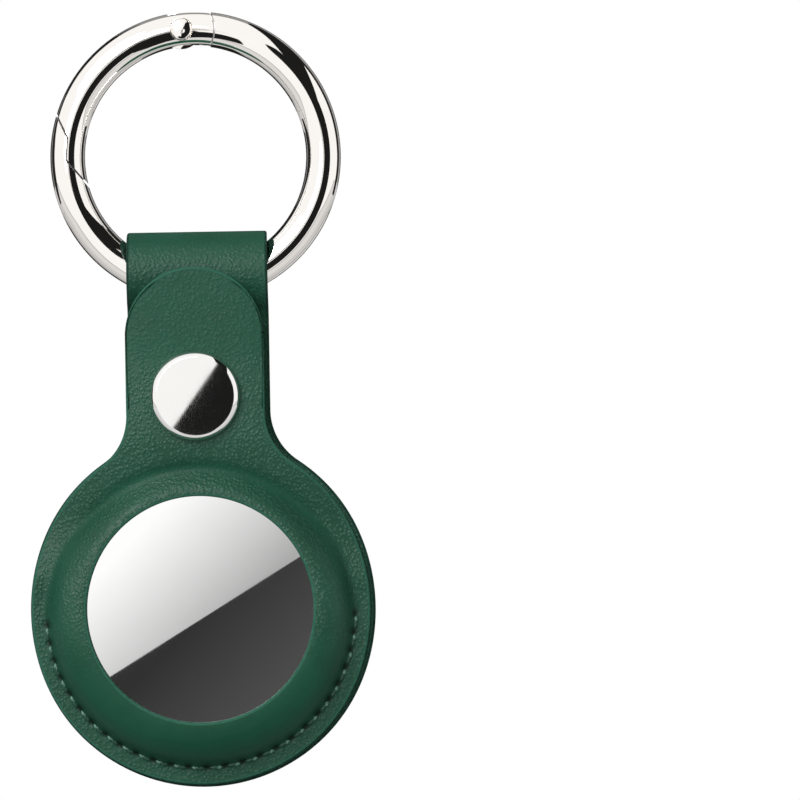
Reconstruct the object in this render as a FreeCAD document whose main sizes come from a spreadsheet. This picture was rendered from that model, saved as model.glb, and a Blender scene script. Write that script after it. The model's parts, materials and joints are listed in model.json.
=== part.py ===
import FreeCAD, Part
import math
import os

import Sketcher

# Driving dimensions in millimetres and degrees. The origin is the centre of the ring, +Z is up and the
# front of the holder faces -Y. What hangs below the ring is set out from the loop downwards.
SIZES = {
    # spring-gate ring
    "ring_eye_dia": 25.4,
    "ring_wire_dia": 4.0,
    "gate_pivot_angle": 95.3,
    "gate_latch_angle": 175.3,
    "gate_tail_reach": 3.7,
    "gate_end_gap": 0.2,
    "latch_lap_length": 2.6,
    "latch_outer_slope": 30.0,
    "latch_inner_slope": 45.0,
    "latch_gap": 0.12,
    "hinge_eye_dia": 4.5,
    "hinge_shank_height": 2.4,
    "hinge_tab_thickness": 1.3,
    "hinge_tab_clearance": 0.12,
    "pivot_pin_dia": 1.5,
    "pivot_head_dia": 2.5,
    "pivot_head_height": 0.45,
    "pivot_clearance": 0.08,
    "gate_spring_dia": 1.3,
    "gate_spring_wire_dia": 0.26,
    "gate_spring_length": 3.2,
    "gate_spring_turns": 5.0,
    "gate_spring_clearance": 0.1,
    # leather
    "leather_thickness": 1.2,
    "layer_gap": 0.1,
    "wire_clearance": 0.08,
    "strap_width": 16.2,
    "loop_flare_radius": 3.0,
    "strap_end_margin": 1.25,
    "strap_corner_radius": 1.4,
    "tongue_width": 15.9,
    "tongue_reach": 14.8,
    "tongue_clearance": 0.2,
    "pouch_gap": 0.6,
    "shoulder_radius": 7.5,
    "window_lip": 0.4,
    "pouch_foot_radius": 0.8,
    "bend_rise": 1.5,
    "bend_slit": 0.02,
    # sewing
    "thread_dia": 0.55,
    "needle_clearance": 0.05,
    "seam_foot_gap": 0.14,
    "seam_inset": 1.85,
    "seam_end_gap": 1.8,
    "seam_stitches": 26,
    "strap_stitch_gap": 0.6,
    "strap_stitch_inset": 0.75,
    "strap_stitches": 7,
    # snap fastener
    "snap_gap": 2.55,
    "snap_cap_dia": 9.9,
    "snap_cap_height": 1.5,
    "snap_cap_wall": 0.35,
    "snap_cap_edge_radius": 0.9,
    "snap_knee_margin": 0.4,
    "snap_post_dia": 3.0,
    "snap_post_wall": 0.4,
    "snap_plate_thickness": 0.4,
    "snap_clearance": 0.1,
    "socket_dia": 8.4,
    "socket_bore_dia": 6.0,
    "socket_depth": 2.3,
    "socket_play": 0.4,
    "socket_spring_wire_dia": 0.4,
    "stud_base_dia": 8.0,
    "stud_head_dia": 4.4,
    "stud_neck_dia": 3.8,
    "stud_head_height": 0.45,
    # disc tag
    "tag_dia": 32.0,
    "tag_thickness": 8.0,
    "tag_edge_radius": 2.6,
    "tag_dome_angle": 4.0,
    "tag_clearance": 0.15,
    "tag_wall": 0.9,
    "cover_rim": 2.4,
    "cover_thickness": 0.4,
    "cover_gap": 0.1,
    "cover_tab_reach": 0.5,
    "cover_skirt_depth": 1.15,
    "cell_dia": 20.0,
    "cell_thickness": 3.2,
    "cell_step": 0.9,
    "frame_floor": 0.6,
    "frame_wall": 0.7,
    "board_margin": 1.0,
    "board_thickness": 0.8,
    "magnet_dia": 8.0,
    "magnet_thickness": 2.4,
    "coil_wall": 0.5,
    "coil_height": 1.2,
    "contact_length": 2.8,
    "contact_width": 1.6,
    "contact_thickness": 0.2,
}

doc = FreeCAD.newDocument("TagHolder")
sheet = doc.addObject("Spreadsheet::Sheet", "Sizes")
for row, (size_name, size_value) in enumerate(SIZES.items(), 1):
    sheet.set(f"A{row}", size_name)
    sheet.set(f"B{row}", str(size_value))
    sheet.setAlias(f"B{row}", size_name)
doc.recompute()


class Size:
    """A measure as its present number and as the expression that ties it to the sheet."""

    def __init__(self, value, text=None):
        self.value = float(value)
        self.text = text or f"({float(value)!r})"

    def __add__(self, other):
        other = as_size(other)
        return Size(self.value + other.value, f"({self.text} + {other.text})")

    def __radd__(self, other):
        return as_size(other) + self

    def __sub__(self, other):
        other = as_size(other)
        return Size(self.value - other.value, f"({self.text} - {other.text})")

    def __rsub__(self, other):
        return as_size(other) - self

    def __mul__(self, other):
        other = as_size(other)
        return Size(self.value * other.value, f"({self.text} * {other.text})")

    def __rmul__(self, other):
        return as_size(other) * self

    def __truediv__(self, other):
        other = as_size(other)
        return Size(self.value / other.value, f"({self.text} / {other.text})")

    def __neg__(self):
        return Size(-self.value, f"(0 - {self.text})")


def as_size(number):
    return number if isinstance(number, Size) else Size(number)


def cell(name):
    """The driving dimension of that name."""
    return Size(SIZES[name], f"Sizes.{name}")


def root(size):
    return Size(math.sqrt(size.value), f"sqrt({size.text})")


def sine(angle):
    return Size(math.sin(math.radians(angle.value)), f"sin({angle.text})")


def cosine(angle):
    return Size(math.cos(math.radians(angle.value)), f"cos({angle.text})")


def arcsine(share):
    return Size(math.degrees(math.asin(share.value)), f"(asin({share.text}) / 1 deg)")


def leg(longest, other):
    """The third side of a right triangle."""
    return root(longest * longest - other * other)


ZERO = Size(0)


class Arc:
    """A round stretch of an outline: its radius, its way round and whether it passes half a turn."""

    def __init__(self, radius, left_turn, long_way=False):
        self.radius = as_size(radius)
        self.left_turn = left_turn
        self.long_way = long_way


def new_body(label, x=None, y=None, z=None):
    """An empty body whose own origin is at the given place."""
    body = doc.addObject("PartDesign::Body", label)
    body.Label = label
    for axis, place in (("x", x), ("y", y), ("z", z)):
        if place is not None:
            body.setExpression(f"Placement.Base.{axis}", place.text)
    return body


def sketch_on(body, name, plane, offset=None):
    """A sketch on one of the body's own origin planes, moved along the plane's normal by offset."""
    sketch = body.newObject("Sketcher::SketchObject", name)
    support = next(item for item in body.Origin.OriginFeatures if item.Role == plane)
    sketch.AttachmentSupport = [(support, "")]
    sketch.MapMode = "FlatFace"
    if offset is not None:
        sketch.setExpression("AttachmentOffset.Base.z", offset.text)
    return sketch


def tie(sketch, constraint, size):
    index = sketch.addConstraint(constraint)
    sketch.setExpression(f"Constraints[{index}]", size.text)


def pin_point(sketch, geometry, end, place):
    """Ties one point of a sketch to the origin of the sketch by its two distances."""
    for kind, axis, size in (("DistanceX", -2, place[0]), ("DistanceY", -1, place[1])):
        if size is ZERO:
            sketch.addConstraint(Sketcher.Constraint("PointOnObject", geometry, end, axis))
        elif size.value > 0:
            tie(sketch, Sketcher.Constraint(kind, -1, 1, geometry, end, size.value), size)
        else:
            tie(sketch, Sketcher.Constraint(kind, geometry, end, -1, 1, -size.value), -size)


def draw_circle(sketch, across, up, radius):
    centre = FreeCAD.Vector(across.value, up.value, 0)
    circle = sketch.addGeometry(Part.Circle(centre, FreeCAD.Vector(0, 0, 1), radius.value), False)
    if across is ZERO and up is ZERO:
        sketch.addConstraint(Sketcher.Constraint("Coincident", circle, 3, -1, 1))
    else:
        pin_point(sketch, circle, 3, (across, up))
    tie(sketch, Sketcher.Constraint("Radius", circle, radius.value), radius)


def first_arc(start, end, arc):
    """An arc between two points, drawn counter-clockwise whichever way the outline runs."""
    chord = end - start
    middle = (start + end) * 0.5
    rise = math.sqrt(max(arc.radius.value ** 2 - (chord.Length / 2) ** 2, 0))
    side = 1 if arc.left_turn != arc.long_way else -1
    centre = middle + FreeCAD.Vector(-chord.y, chord.x, 0) * (side * rise / chord.Length)
    first, last = (start, end) if arc.left_turn else (end, start)
    angles = [math.atan2(point.y - centre.y, point.x - centre.x) for point in (first, last)]
    circle = Part.Circle(centre, FreeCAD.Vector(0, 0, 1), arc.radius.value)
    return Part.ArcOfCircle(circle, angles[0], angles[1])


def draw_outline(sketch, path):
    """A closed outline of points, where an Arc between two points makes that stretch round."""
    points = []
    arcs = {}
    for item in path:
        if isinstance(item, Arc):
            arcs[len(points) - 1] = item
        else:
            points.append(tuple(as_size(size) if size else ZERO for size in item))
    stretches = []
    for index, point in enumerate(points):
        following = points[(index + 1) % len(points)]
        start = FreeCAD.Vector(point[0].value, point[1].value, 0)
        end = FreeCAD.Vector(following[0].value, following[1].value, 0)
        arc = arcs.get(index)
        if arc is None:
            geometry = sketch.addGeometry(Part.LineSegment(start, end), False)
        else:
            geometry = sketch.addGeometry(first_arc(start, end, arc), False)
        turned = arc is not None and not arc.left_turn
        stretches.append((geometry, 2 if turned else 1, 1 if turned else 2))
    for index, (geometry, start, end) in enumerate(stretches):
        following = stretches[(index + 1) % len(stretches)]
        sketch.addConstraint(Sketcher.Constraint("Coincident", geometry, end, following[0], following[1]))
        pin_point(sketch, geometry, start, points[index])
        if index in arcs:
            radius = arcs[index].radius
            tie(sketch, Sketcher.Constraint("Radius", geometry, radius.value), radius)


def pad(body, sketch, length, both_ways=False, backward=False):
    feature = body.newObject("PartDesign::Pad", f"{sketch.Name}_pad")
    feature.Profile = sketch
    feature.SideType = "Symmetric" if both_ways else "One side"
    feature.Reversed = backward
    feature.setExpression("Length", length.text)
    sketch.Visibility = False
    doc.recompute()
    return feature


def pocket(body, sketch, length=None, backward=False, both_ways=False):
    """A cut along the sketch's normal, right through both ways unless a length is given."""
    feature = body.newObject("PartDesign::Pocket", f"{sketch.Name}_pocket")
    feature.Profile = sketch
    feature.Reversed = backward
    feature.SideType = "Symmetric" if both_ways or length is None else "One side"
    if length is None:
        feature.Type = "ThroughAll"
    else:
        feature.setExpression("Length", length.text)
    before = body.Shape.Volume
    doc.recompute()
    if not body.Shape.Volume < before:
        raise ValueError(f"{feature.Name} in {body.Label} cuts nothing")
    return feature


def revolve(body, sketch, angle=None):
    """A solid turned about the sketch's upright axis."""
    feature = body.newObject("PartDesign::Revolution", f"{sketch.Name}_turned")
    feature.Profile = sketch
    feature.ReferenceAxis = (sketch, ["V_Axis"])
    feature.Angle = 360
    if angle is not None:
        feature.setExpression("Angle", angle.text)
    doc.recompute()
    return feature


def groove(body, sketch, axis="V_Axis"):
    """A cut turned about the sketch's upright axis, or about one of its edges."""
    feature = body.newObject("PartDesign::Groove", f"{sketch.Name}_groove")
    feature.Profile = sketch
    feature.ReferenceAxis = (sketch, [axis])
    feature.Angle = 360
    before = body.Shape.Volume
    doc.recompute()
    if not body.Shape.Volume < before:
        raise ValueError(f"{feature.Name} in {body.Label} cuts nothing")
    return feature


def around(body, originals, sketch, count, span, backward=False):
    """Copies of features spread round the normal of a sketch."""
    pattern = body.newObject("PartDesign::PolarPattern", f"{sketch.Name}_round")
    pattern.Originals = originals
    pattern.Axis = (sketch, ["N_Axis"])
    pattern.Reversed = backward
    pattern.setExpression("Angle", span.text)
    pattern.setExpression("Occurrences", count.text)
    body.Tip = pattern
    doc.recompute()
    return pattern


def along(body, originals, sketch, count, span):
    """Copies of features spread along the level axis of a sketch."""
    pattern = body.newObject("PartDesign::LinearPattern", f"{sketch.Name}_row")
    pattern.Originals = originals
    pattern.Direction = (sketch, ["H_Axis"])
    pattern.setExpression("Length", span.text)
    pattern.setExpression("Occurrences", count.text)
    body.Tip = pattern
    doc.recompute()
    return pattern


def turned_piece(label, profile, y=None, z=None):
    """A round piece about a fore-and-aft axis, from a profile of radius against Y."""
    body = new_body(label, y=y, z=z)
    sketch = sketch_on(body, f"{label}_profile", "XY_Plane")
    draw_outline(sketch, profile)
    revolve(body, sketch)
    return body


# Measures that several pieces share

wire_r = cell("ring_wire_dia") / 2
ring_r = (cell("ring_eye_dia") + cell("ring_wire_dia")) / 2
leather = cell("leather_thickness")
layer = cell("layer_gap") / 2
half_strap = cell("strap_width") / 2
half_tongue = cell("tongue_width") / 2
snap_cap_r = cell("snap_cap_dia") / 2
thread_r = cell("thread_dia") / 2
needle_r = thread_r + cell("needle_clearance")

# The neck lies in front of the folded strap, and the front panel is sewn on the front of the neck's layer.
neck_back = -layer
seam_y = -layer - leather
fold_front = layer
fold_back = layer + leather
margin_front = seam_y - leather

# The strap's loop goes round the wire from its lowest point to its upper side at the edges of the strap.
wire_low = ring_r + wire_r
wire_high = leg(ring_r - wire_r, half_strap)
loop_in = (wire_low - wire_high) / 2 + cell("wire_clearance")
loop_out = loop_in + leather
loop_z = -(wire_low + wire_high) / 2
flare = cell("loop_flare_radius")
flare_span = loop_in + leather / 2 + flare
flare_across = layer + leather / 2 + flare
flare_z = loop_z - leg(flare_span, flare_across)

# Below the loop come the strap's stitches, the snap and the end of the strap.
strap_stitch_z = flare_z - cell("strap_stitch_gap")
strap_stitch_span = cell("strap_width") - 2 * cell("strap_stitch_inset")
snap_z = strap_stitch_z - cell("snap_gap") - snap_cap_r
strap_end_z = snap_z - snap_cap_r - cell("strap_end_margin")

# The tongue passes in front of the loop and slopes down to the seam below the snap.
tongue_back = -loop_out - cell("tongue_clearance")
tongue_front = tongue_back - leather
knee_z = snap_z - snap_cap_r - cell("snap_knee_margin")
tip_z = snap_z + cell("tongue_reach")

# The tag's rounded edge and domed back, which the leather is moulded over.
tag_r = cell("tag_dia") / 2
tag_half = cell("tag_thickness") / 2
edge_r = cell("tag_edge_radius")
edge_x = tag_r - edge_r
front_edge_y = edge_r - tag_half
dome_angle = cell("tag_dome_angle")
dome_x = edge_x + edge_r * sine(dome_angle)
dome_r = dome_x / sine(dome_angle)
back_edge_y = tag_half - edge_r * cosine(dome_angle) - dome_r * (1 - cosine(dome_angle))
cover_r = tag_r - cell("cover_rim")
window_r = cover_r - cell("window_lip")

# The disc is the moulded pouch, the seam round its foot and the margin outside the seam.
foot = cell("pouch_foot_radius")
bulge = edge_r + cell("tag_clearance") + leather
foot_r = edge_x + leg(bulge + foot, front_edge_y + leather + foot)
seam_r = foot_r + cell("seam_foot_gap")
disc_r = seam_r + cell("seam_inset")
disc_z = strap_end_z - cell("pouch_gap") - foot_r
bend_z = cell("bend_rise")
bend_half = leg(disc_r, bend_z)
seam_start = arcsine((cell("seam_end_gap") - bend_z) / seam_r)
seam_span = 180 - 2 * seam_start

pivot_angle = cell("gate_pivot_angle")
pivot_x = ring_r * cosine(pivot_angle)
pivot_z = ring_r * sine(pivot_angle)


def polar(radius, angle, centre=(ZERO, ZERO)):
    return centre[0] + radius * cosine(angle), centre[1] + radius * sine(angle)


# Ring

PIVOT = (pivot_x, pivot_z)
TAIL_SPREAD = 55
SHANK_TURN = 99
CROWN_TURN = 11
NEAR_HALF_TURN = 0.999
SPRING_TURN = 102
spring_way = pivot_angle + SPRING_TURN
outside_ring = ring_r + 2 * wire_r
inside_ring = ring_r - 2 * wire_r


def gate_outline(tail_r, shift):
    """The stretch of the ring that swings, seen from the front, from the pivot's tail to the latch."""
    latch_angle = cell("gate_latch_angle")
    middle_angle = (pivot_angle + latch_angle) / 2
    reach = wire_r + cell("latch_lap_length")
    out_x, out_z = cosine(latch_angle), sine(latch_angle)
    on_x, on_z = -out_z, out_x
    lap = cell("latch_lap_length") / 2
    latch_x = ring_r * out_x + shift * (out_x + on_x)
    latch_z = ring_r * out_z + shift * (out_z + on_z)
    heel = (latch_x - lap * on_x, latch_z - lap * on_z)
    nose = (latch_x + lap * on_x, latch_z + lap * on_z)
    outer, inner = cell("latch_outer_slope"), cell("latch_inner_slope")
    heel_way = (cosine(outer) * on_x - sine(outer) * out_x, cosine(outer) * on_z - sine(outer) * out_z)
    nose_way = (cosine(inner) * on_x - sine(inner) * out_x, cosine(inner) * on_z - sine(inner) * out_z)
    return [
        polar(tail_r, pivot_angle - 90 - TAIL_SPREAD, PIVOT),
        Arc(tail_r, True),
        polar(tail_r, pivot_angle - 90 + TAIL_SPREAD, PIVOT),
        polar(outside_ring, pivot_angle),
        polar(outside_ring, middle_angle),
        (heel[0] - reach * heel_way[0], heel[1] - reach * heel_way[1]),
        heel,
        nose,
        (nose[0] + reach * nose_way[0], nose[1] + reach * nose_way[1]),
        polar(inside_ring, middle_angle),
        polar(inside_ring, pivot_angle),
    ]


def ring_blank(body):
    section = sketch_on(body, f"{body.Name}_wire", "XY_Plane")
    draw_circle(section, ring_r, ZERO, wire_r)
    revolve(body, section)


def hinge_shape(eye_r, half_shank, shank_length):
    """A round eye about the pivot with a straight shank towards the fixed part of the ring."""
    way = pivot_angle - SHANK_TURN
    along_x, along_z = cosine(way), sine(way)
    up_x, up_z = -along_z, along_x
    start = leg(eye_r, half_shank)
    corners = []
    for reach, side in ((start, 1), (start, -1), (shank_length, -1), (shank_length, 1)):
        corners.append((
            pivot_x + reach * along_x + side * half_shank * up_x,
            pivot_z + reach * along_z + side * half_shank * up_z,
        ))
    return [corners[0], Arc(eye_r, True, True), corners[1], corners[2], corners[3]]


def ring_body():
    body = new_body("ring_body")
    ring_blank(body)
    opening = sketch_on(body, "gate_opening", "XZ_Plane")
    end_r = cell("gate_tail_reach") + cell("gate_end_gap")
    draw_outline(opening, gate_outline(end_r, cell("latch_gap")))
    pocket(body, opening)
    tab = sketch_on(body, "hinge_tab", "XZ_Plane")
    eye_r = cell("hinge_eye_dia") / 2
    draw_outline(tab, hinge_shape(eye_r, cell("hinge_shank_height") / 2, end_r + wire_r / 2))
    pad(body, tab, cell("hinge_tab_thickness"), both_ways=True)
    crown = sketch_on(body, "eye_crown", "XZ_Plane")
    crown_r = ring_r + wire_r - cell("pivot_clearance")
    draw_outline(crown, [
        polar(crown_r, pivot_angle + CROWN_TURN), Arc(crown_r, False),
        polar(crown_r, pivot_angle - CROWN_TURN), polar(outside_ring, pivot_angle - CROWN_TURN),
        polar(outside_ring, pivot_angle + CROWN_TURN),
    ])
    pocket(body, crown)
    bore = sketch_on(body, "eye_bore", "XZ_Plane")
    draw_circle(bore, pivot_x, pivot_z, cell("pivot_pin_dia") / 2)
    pocket(body, bore)
    return body


def ring_gate():
    body = new_body("ring_gate")
    ring_blank(body)
    rest = sketch_on(body, "rest_of_ring", "XZ_Plane")
    draw_circle(rest, ZERO, ZERO, ring_r + outside_ring)
    draw_outline(rest, gate_outline(cell("gate_tail_reach"), ZERO))
    pocket(body, rest)
    slot = sketch_on(body, "hinge_slot", "XZ_Plane")
    slot_r = cell("hinge_eye_dia") / 2 + cell("hinge_tab_clearance")
    draw_outline(slot, hinge_shape(slot_r, slot_r * NEAR_HALF_TURN, cell("gate_tail_reach") + wire_r))
    pocket(body, slot, cell("hinge_tab_thickness") + 2 * cell("hinge_tab_clearance"), both_ways=True)
    bore = sketch_on(body, "pin_bore", "XZ_Plane")
    draw_circle(bore, pivot_x, pivot_z, cell("pivot_pin_dia") / 2 + cell("pivot_clearance"))
    pocket(body, bore)
    head_r = cell("pivot_head_dia") / 2 + cell("pivot_clearance")
    seat = wire_r - cell("pivot_head_height") - cell("pivot_clearance")
    for name, backward in (("front_seat", True), ("back_seat", False)):
        offset = seat if backward else -seat
        counterbore = sketch_on(body, name, "XZ_Plane", offset)
        draw_circle(counterbore, pivot_x, pivot_z, head_r)
        pocket(body, counterbore, wire_r, backward)
    well = sketch_on(body, "spring_well", "XZ_Plane")
    well_r = cell("gate_spring_dia") / 2 + cell("gate_spring_clearance")
    start = cell("hinge_eye_dia") / 2
    end = start + 2 * cell("gate_spring_clearance") + cell("gate_spring_length")
    way_x, way_z = cosine(spring_way), sine(spring_way)
    draw_outline(well, [
        (pivot_x + start * way_x, pivot_z + start * way_z),
        (pivot_x + end * way_x, pivot_z + end * way_z),
        (pivot_x + end * way_x - well_r * way_z, pivot_z + end * way_z + well_r * way_x),
        (pivot_x + start * way_x - well_r * way_z, pivot_z + start * way_z + well_r * way_x),
    ])
    groove(body, well, "Edge1")
    return body


def gate_pivot_pin():
    body = new_body("gate_pivot_pin", x=pivot_x, z=pivot_z)
    pin_r = cell("pivot_pin_dia") / 2
    head_r = cell("pivot_head_dia") / 2
    seat = wire_r - cell("pivot_head_height")
    profile = sketch_on(body, "pin_profile", "XY_Plane")
    draw_outline(profile, [
        (0, -wire_r), (head_r, -wire_r), (head_r, -seat), (pin_r, -seat),
        (pin_r, seat), (head_r, seat), (head_r, wire_r), (0, wire_r),
    ])
    revolve(body, profile)
    return body


def gate_spring():
    """A short coil in the gate's bore that bears on the eye of the ring's hinge tab."""
    start = cell("hinge_eye_dia") / 2 + cell("gate_spring_clearance")
    coil_wire = cell("gate_spring_wire_dia") / 2
    body = new_body(
        "gate_spring",
        x=pivot_x + (start + coil_wire) * cosine(spring_way),
        z=pivot_z + (start + coil_wire) * sine(spring_way),
    )
    body.Placement.Rotation = FreeCAD.Rotation(FreeCAD.Vector(0, 1, 0), 90 - spring_way.value)
    body.setExpression("Placement.Rotation.Angle", (90 - spring_way).text)
    section = sketch_on(body, "coil_section", "XZ_Plane")
    draw_circle(section, cell("gate_spring_dia") / 2 - coil_wire, ZERO, coil_wire)
    coil = body.newObject("PartDesign::AdditiveHelix", "coil")
    coil.Profile = section
    coil.ReferenceAxis = (section, ["V_Axis"])
    coil.Mode = "height-turns-angle"
    coil.setExpression("Height", (cell("gate_spring_length") - 2 * coil_wire).text)
    coil.setExpression("Turns", cell("gate_spring_turns").text)
    doc.recompute()
    return body


# Leather

def from_disc(height):
    """A height measured from the centre of the disc, where the leather pieces have their own origin."""
    return height - disc_z


def pouch_profile(reach, edge_y, dome=None):
    """The moulded surface at a distance from the tag: its rim, its rounded edge and its front or back."""
    way = -1 if dome is None else 1
    if dome is None:
        top = [(edge_x, edge_y - edge_r - reach), (0, edge_y - edge_r - reach)]
    else:
        tilt = edge_r + reach
        edge_end = (edge_x + tilt * sine(dome), edge_y + tilt * cosine(dome))
        top = [edge_end, Arc(dome_r + reach, True), (0, tag_half + reach)]
    return [(tag_r + reach, edge_y), Arc(edge_r + reach, way > 0)] + top


def shifted(profile, rise):
    """A profile moved along Y."""
    return [item if isinstance(item, Arc) else (item[0], item[1] + rise) for item in profile]


def pouch_boss(edge_y, face, dome=None):
    """The outside of the moulded pouch, from the sewn margin's face over a soft foot to the top."""
    way = -1 if dome is None else 1
    foot_y = face + way * foot
    rise = foot_y - edge_y
    foot_x = edge_x + leg(bulge + foot, rise)
    share = bulge / (bulge + foot)
    touch = (edge_x + share * (foot_x - edge_x), edge_y + share * rise)
    outside = pouch_profile(cell("tag_clearance") + leather, edge_y, dome)
    return [(0, 0), (foot_x, 0), (foot_x, face), Arc(foot, way < 0), touch] + outside[1:]


def cavity_profile(edge_y, dome=None):
    """The space for the tag behind the moulded leather, open at the seam."""
    inside = pouch_profile(cell("tag_clearance"), edge_y, dome)
    return [(0, 0), (tag_r + cell("tag_clearance"), 0)] + inside


def disc_and_neck(half_neck, top_path):
    """The outline above the bend line: disc, concave shoulders and a neck that top_path closes."""
    fillet = cell("shoulder_radius")
    across = half_neck + fillet
    centre_z = leg(disc_r + fillet, across)
    share = disc_r / (disc_r + fillet)
    touch = (share * across, share * centre_z)
    right = [touch, Arc(fillet, False), (half_neck, centre_z)]
    left = [(-half_neck, centre_z), Arc(fillet, False), (-touch[0], touch[1])]
    return right + top_path + left


def sew_holes(body, label, offset, depth, backward):
    """Needle holes round the lower half of the disc."""
    holes = sketch_on(body, f"{label}_needle_hole", "XZ_Plane", offset)
    draw_circle(holes, -seam_r * cosine(seam_start), -seam_r * sine(seam_start), needle_r)
    cut = pocket(body, holes, depth, backward)
    return around(body, [cut], holes, cell("seam_stitches") + 1, seam_span)


def back_panel():
    body = new_body("back_panel", z=disc_z)
    flat = sketch_on(body, "back_sheet", "XZ_Plane", layer)
    neck_top = from_disc(flare_z)
    top = [(half_strap, neck_top), (-half_strap, neck_top)]
    draw_outline(flat, disc_and_neck(half_strap, top) + [Arc(disc_r, True, True)])
    pad(body, flat, leather)
    strap = sketch_on(body, "strap_loop", "YZ_Plane")
    draw_outline(strap, strap_path())
    pad(body, strap, cell("strap_width"), both_ways=True)
    boss = sketch_on(body, "back_boss", "XY_Plane")
    draw_outline(boss, shifted(pouch_boss(back_edge_y, leather, dome_angle), seam_y))
    revolve(body, boss)
    cavity = sketch_on(body, "back_cavity", "XY_Plane")
    draw_outline(cavity, shifted(cavity_profile(back_edge_y, dome_angle), seam_y))
    groove(body, cavity)
    corners = sketch_on(body, "strap_corners", "XZ_Plane")
    end_z = from_disc(strap_end_z)
    corner = cell("strap_corner_radius")
    for side in (1, -1):
        draw_outline(corners, [
            (side * (half_strap - corner), end_z), Arc(corner, side > 0), (side * half_strap, end_z + corner),
            (side * (half_strap + corner), end_z + corner), (side * (half_strap + corner), end_z - corner),
            (side * (half_strap - corner), end_z - corner),
        ])
    pocket(body, corners, fold_back + leather)
    rivet = sketch_on(body, "rivet_hole", "XZ_Plane")
    draw_circle(rivet, ZERO, from_disc(snap_z), cell("snap_post_dia") / 2 + cell("snap_clearance"))
    pocket(body, rivet)
    row = sketch_on(body, "strap_needle_hole", "XZ_Plane")
    draw_circle(row, -strap_stitch_span / 2, from_disc(strap_stitch_z), needle_r)
    along(body, [pocket(body, row)], row, cell("strap_stitches") + 1, strap_stitch_span)
    sew_holes(body, "back", -seam_y, leather, False)
    return body


def strap_path():
    """The strap from the side: up from the neck, round the ring's wire, and down behind to its end."""
    neck_z = from_disc(flare_z)
    centre_z = from_disc(loop_z)
    end_z = from_disc(strap_end_z)
    side_in = loop_in / flare_span
    side_out = loop_out / flare_span
    drop = leg(flare_span, flare_across)
    inner = (side_in * flare_across, centre_z - side_in * drop)
    outer = (side_out * flare_across, centre_z - side_out * drop)
    tight = flare - leather / 2
    wide = flare + leather / 2
    return [
        (seam_y, neck_z), Arc(tight, True), (-outer[0], outer[1]),
        Arc(loop_out, False, True), outer, Arc(tight, True), (fold_back, neck_z),
        (fold_back, end_z), (fold_front, end_z), (fold_front, neck_z),
        Arc(wide, False), inner, Arc(loop_in, True, True), (-inner[0], inner[1]),
        Arc(wide, False), (neck_back, neck_z),
    ]


def front_boss(body, name):
    boss = sketch_on(body, f"{name}_boss", "XY_Plane")
    draw_outline(boss, shifted(pouch_boss(front_edge_y, -leather), seam_y))
    revolve(body, boss)


def front_cavity(body, name):
    """The tag's space and the round window in front of it."""
    cavity = sketch_on(body, f"{name}_cavity", "XY_Plane")
    inside = pouch_profile(cell("tag_clearance"), front_edge_y)[:-1]
    proud = -tag_half - cell("tag_clearance") - 2 * leather
    behind = tag_half
    profile = [(0, behind), (tag_r + cell("tag_clearance"), behind)] + inside
    profile += [(window_r, -tag_half - cell("tag_clearance")), (window_r, proud), (0, proud)]
    draw_outline(cavity, shifted(profile, seam_y))
    groove(body, cavity)


def front_panel_lower():
    body = new_body("front_panel_lower", z=disc_z)
    flat = sketch_on(body, "front_margin", "XZ_Plane", -seam_y)
    draw_outline(flat, [(bend_half, bend_z), (-bend_half, bend_z), Arc(disc_r, True, True)])
    pad(body, flat, leather)
    front_boss(body, "lower")
    above = sketch_on(body, "above_bend", "XZ_Plane")
    top = disc_r + leather
    draw_outline(above, [(top, bend_z), (top, top), (-top, top), (-top, bend_z)])
    pocket(body, above)
    front_cavity(body, "lower")
    sew_holes(body, "front", -seam_y, leather + cell("pouch_foot_radius"), True)
    return body


def front_flap():
    """The upper half of the front panel, which bends forward along the level line above the tag's centre."""
    body = new_body("front_flap", z=disc_z)
    front_boss(body, "flap")
    knee = from_disc(knee_z)
    tip = from_disc(tip_z)
    far = tag_half + 2 * leather
    behind = sketch_on(body, "behind_flap", "YZ_Plane")
    draw_outline(behind, [
        (seam_y, -disc_r), (seam_y, bend_z), (tongue_back, knee), (tongue_back, tip),
        (far, tip), (far, -disc_r),
    ])
    pocket(body, behind)
    side = sketch_on(body, "flap_sheet", "YZ_Plane")
    draw_outline(side, [
        (seam_y, bend_z), (tongue_back, knee), (tongue_back, tip),
        (tongue_front, tip), (tongue_front, knee), (margin_front, bend_z),
    ])
    pad(body, side, 2 * disc_r, both_ways=True)
    front_cavity(body, "flap")
    around_flap = sketch_on(body, "flap_outline", "XZ_Plane")
    round_z = tip - half_tongue
    low = bend_z + cell("bend_slit")
    low_half = leg(disc_r, low)
    tongue = [
        (half_tongue, round_z), Arc(half_tongue, True), (0, tip),
        Arc(half_tongue, True), (-half_tongue, round_z),
    ]
    shape = [(low_half, low), Arc(disc_r, True)] + disc_and_neck(half_tongue, tongue)
    draw_outline(around_flap, shape + [Arc(disc_r, True), (-low_half, low)])
    beyond = from_disc(ZERO)
    draw_outline(around_flap, [(beyond, -beyond), (beyond, beyond), (-beyond, beyond), (-beyond, -beyond)])
    pocket(body, around_flap)
    rivet = sketch_on(body, "cap_hole", "XZ_Plane")
    draw_circle(rivet, ZERO, from_disc(snap_z), cell("snap_post_dia") / 2 + cell("snap_clearance"))
    pocket(body, rivet)
    return body


# Sewing thread, drawn thin where it passes through the leather

LEG_SQUEEZE = 0.8
THREAD_TAIL_TURN = 0.9


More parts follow.
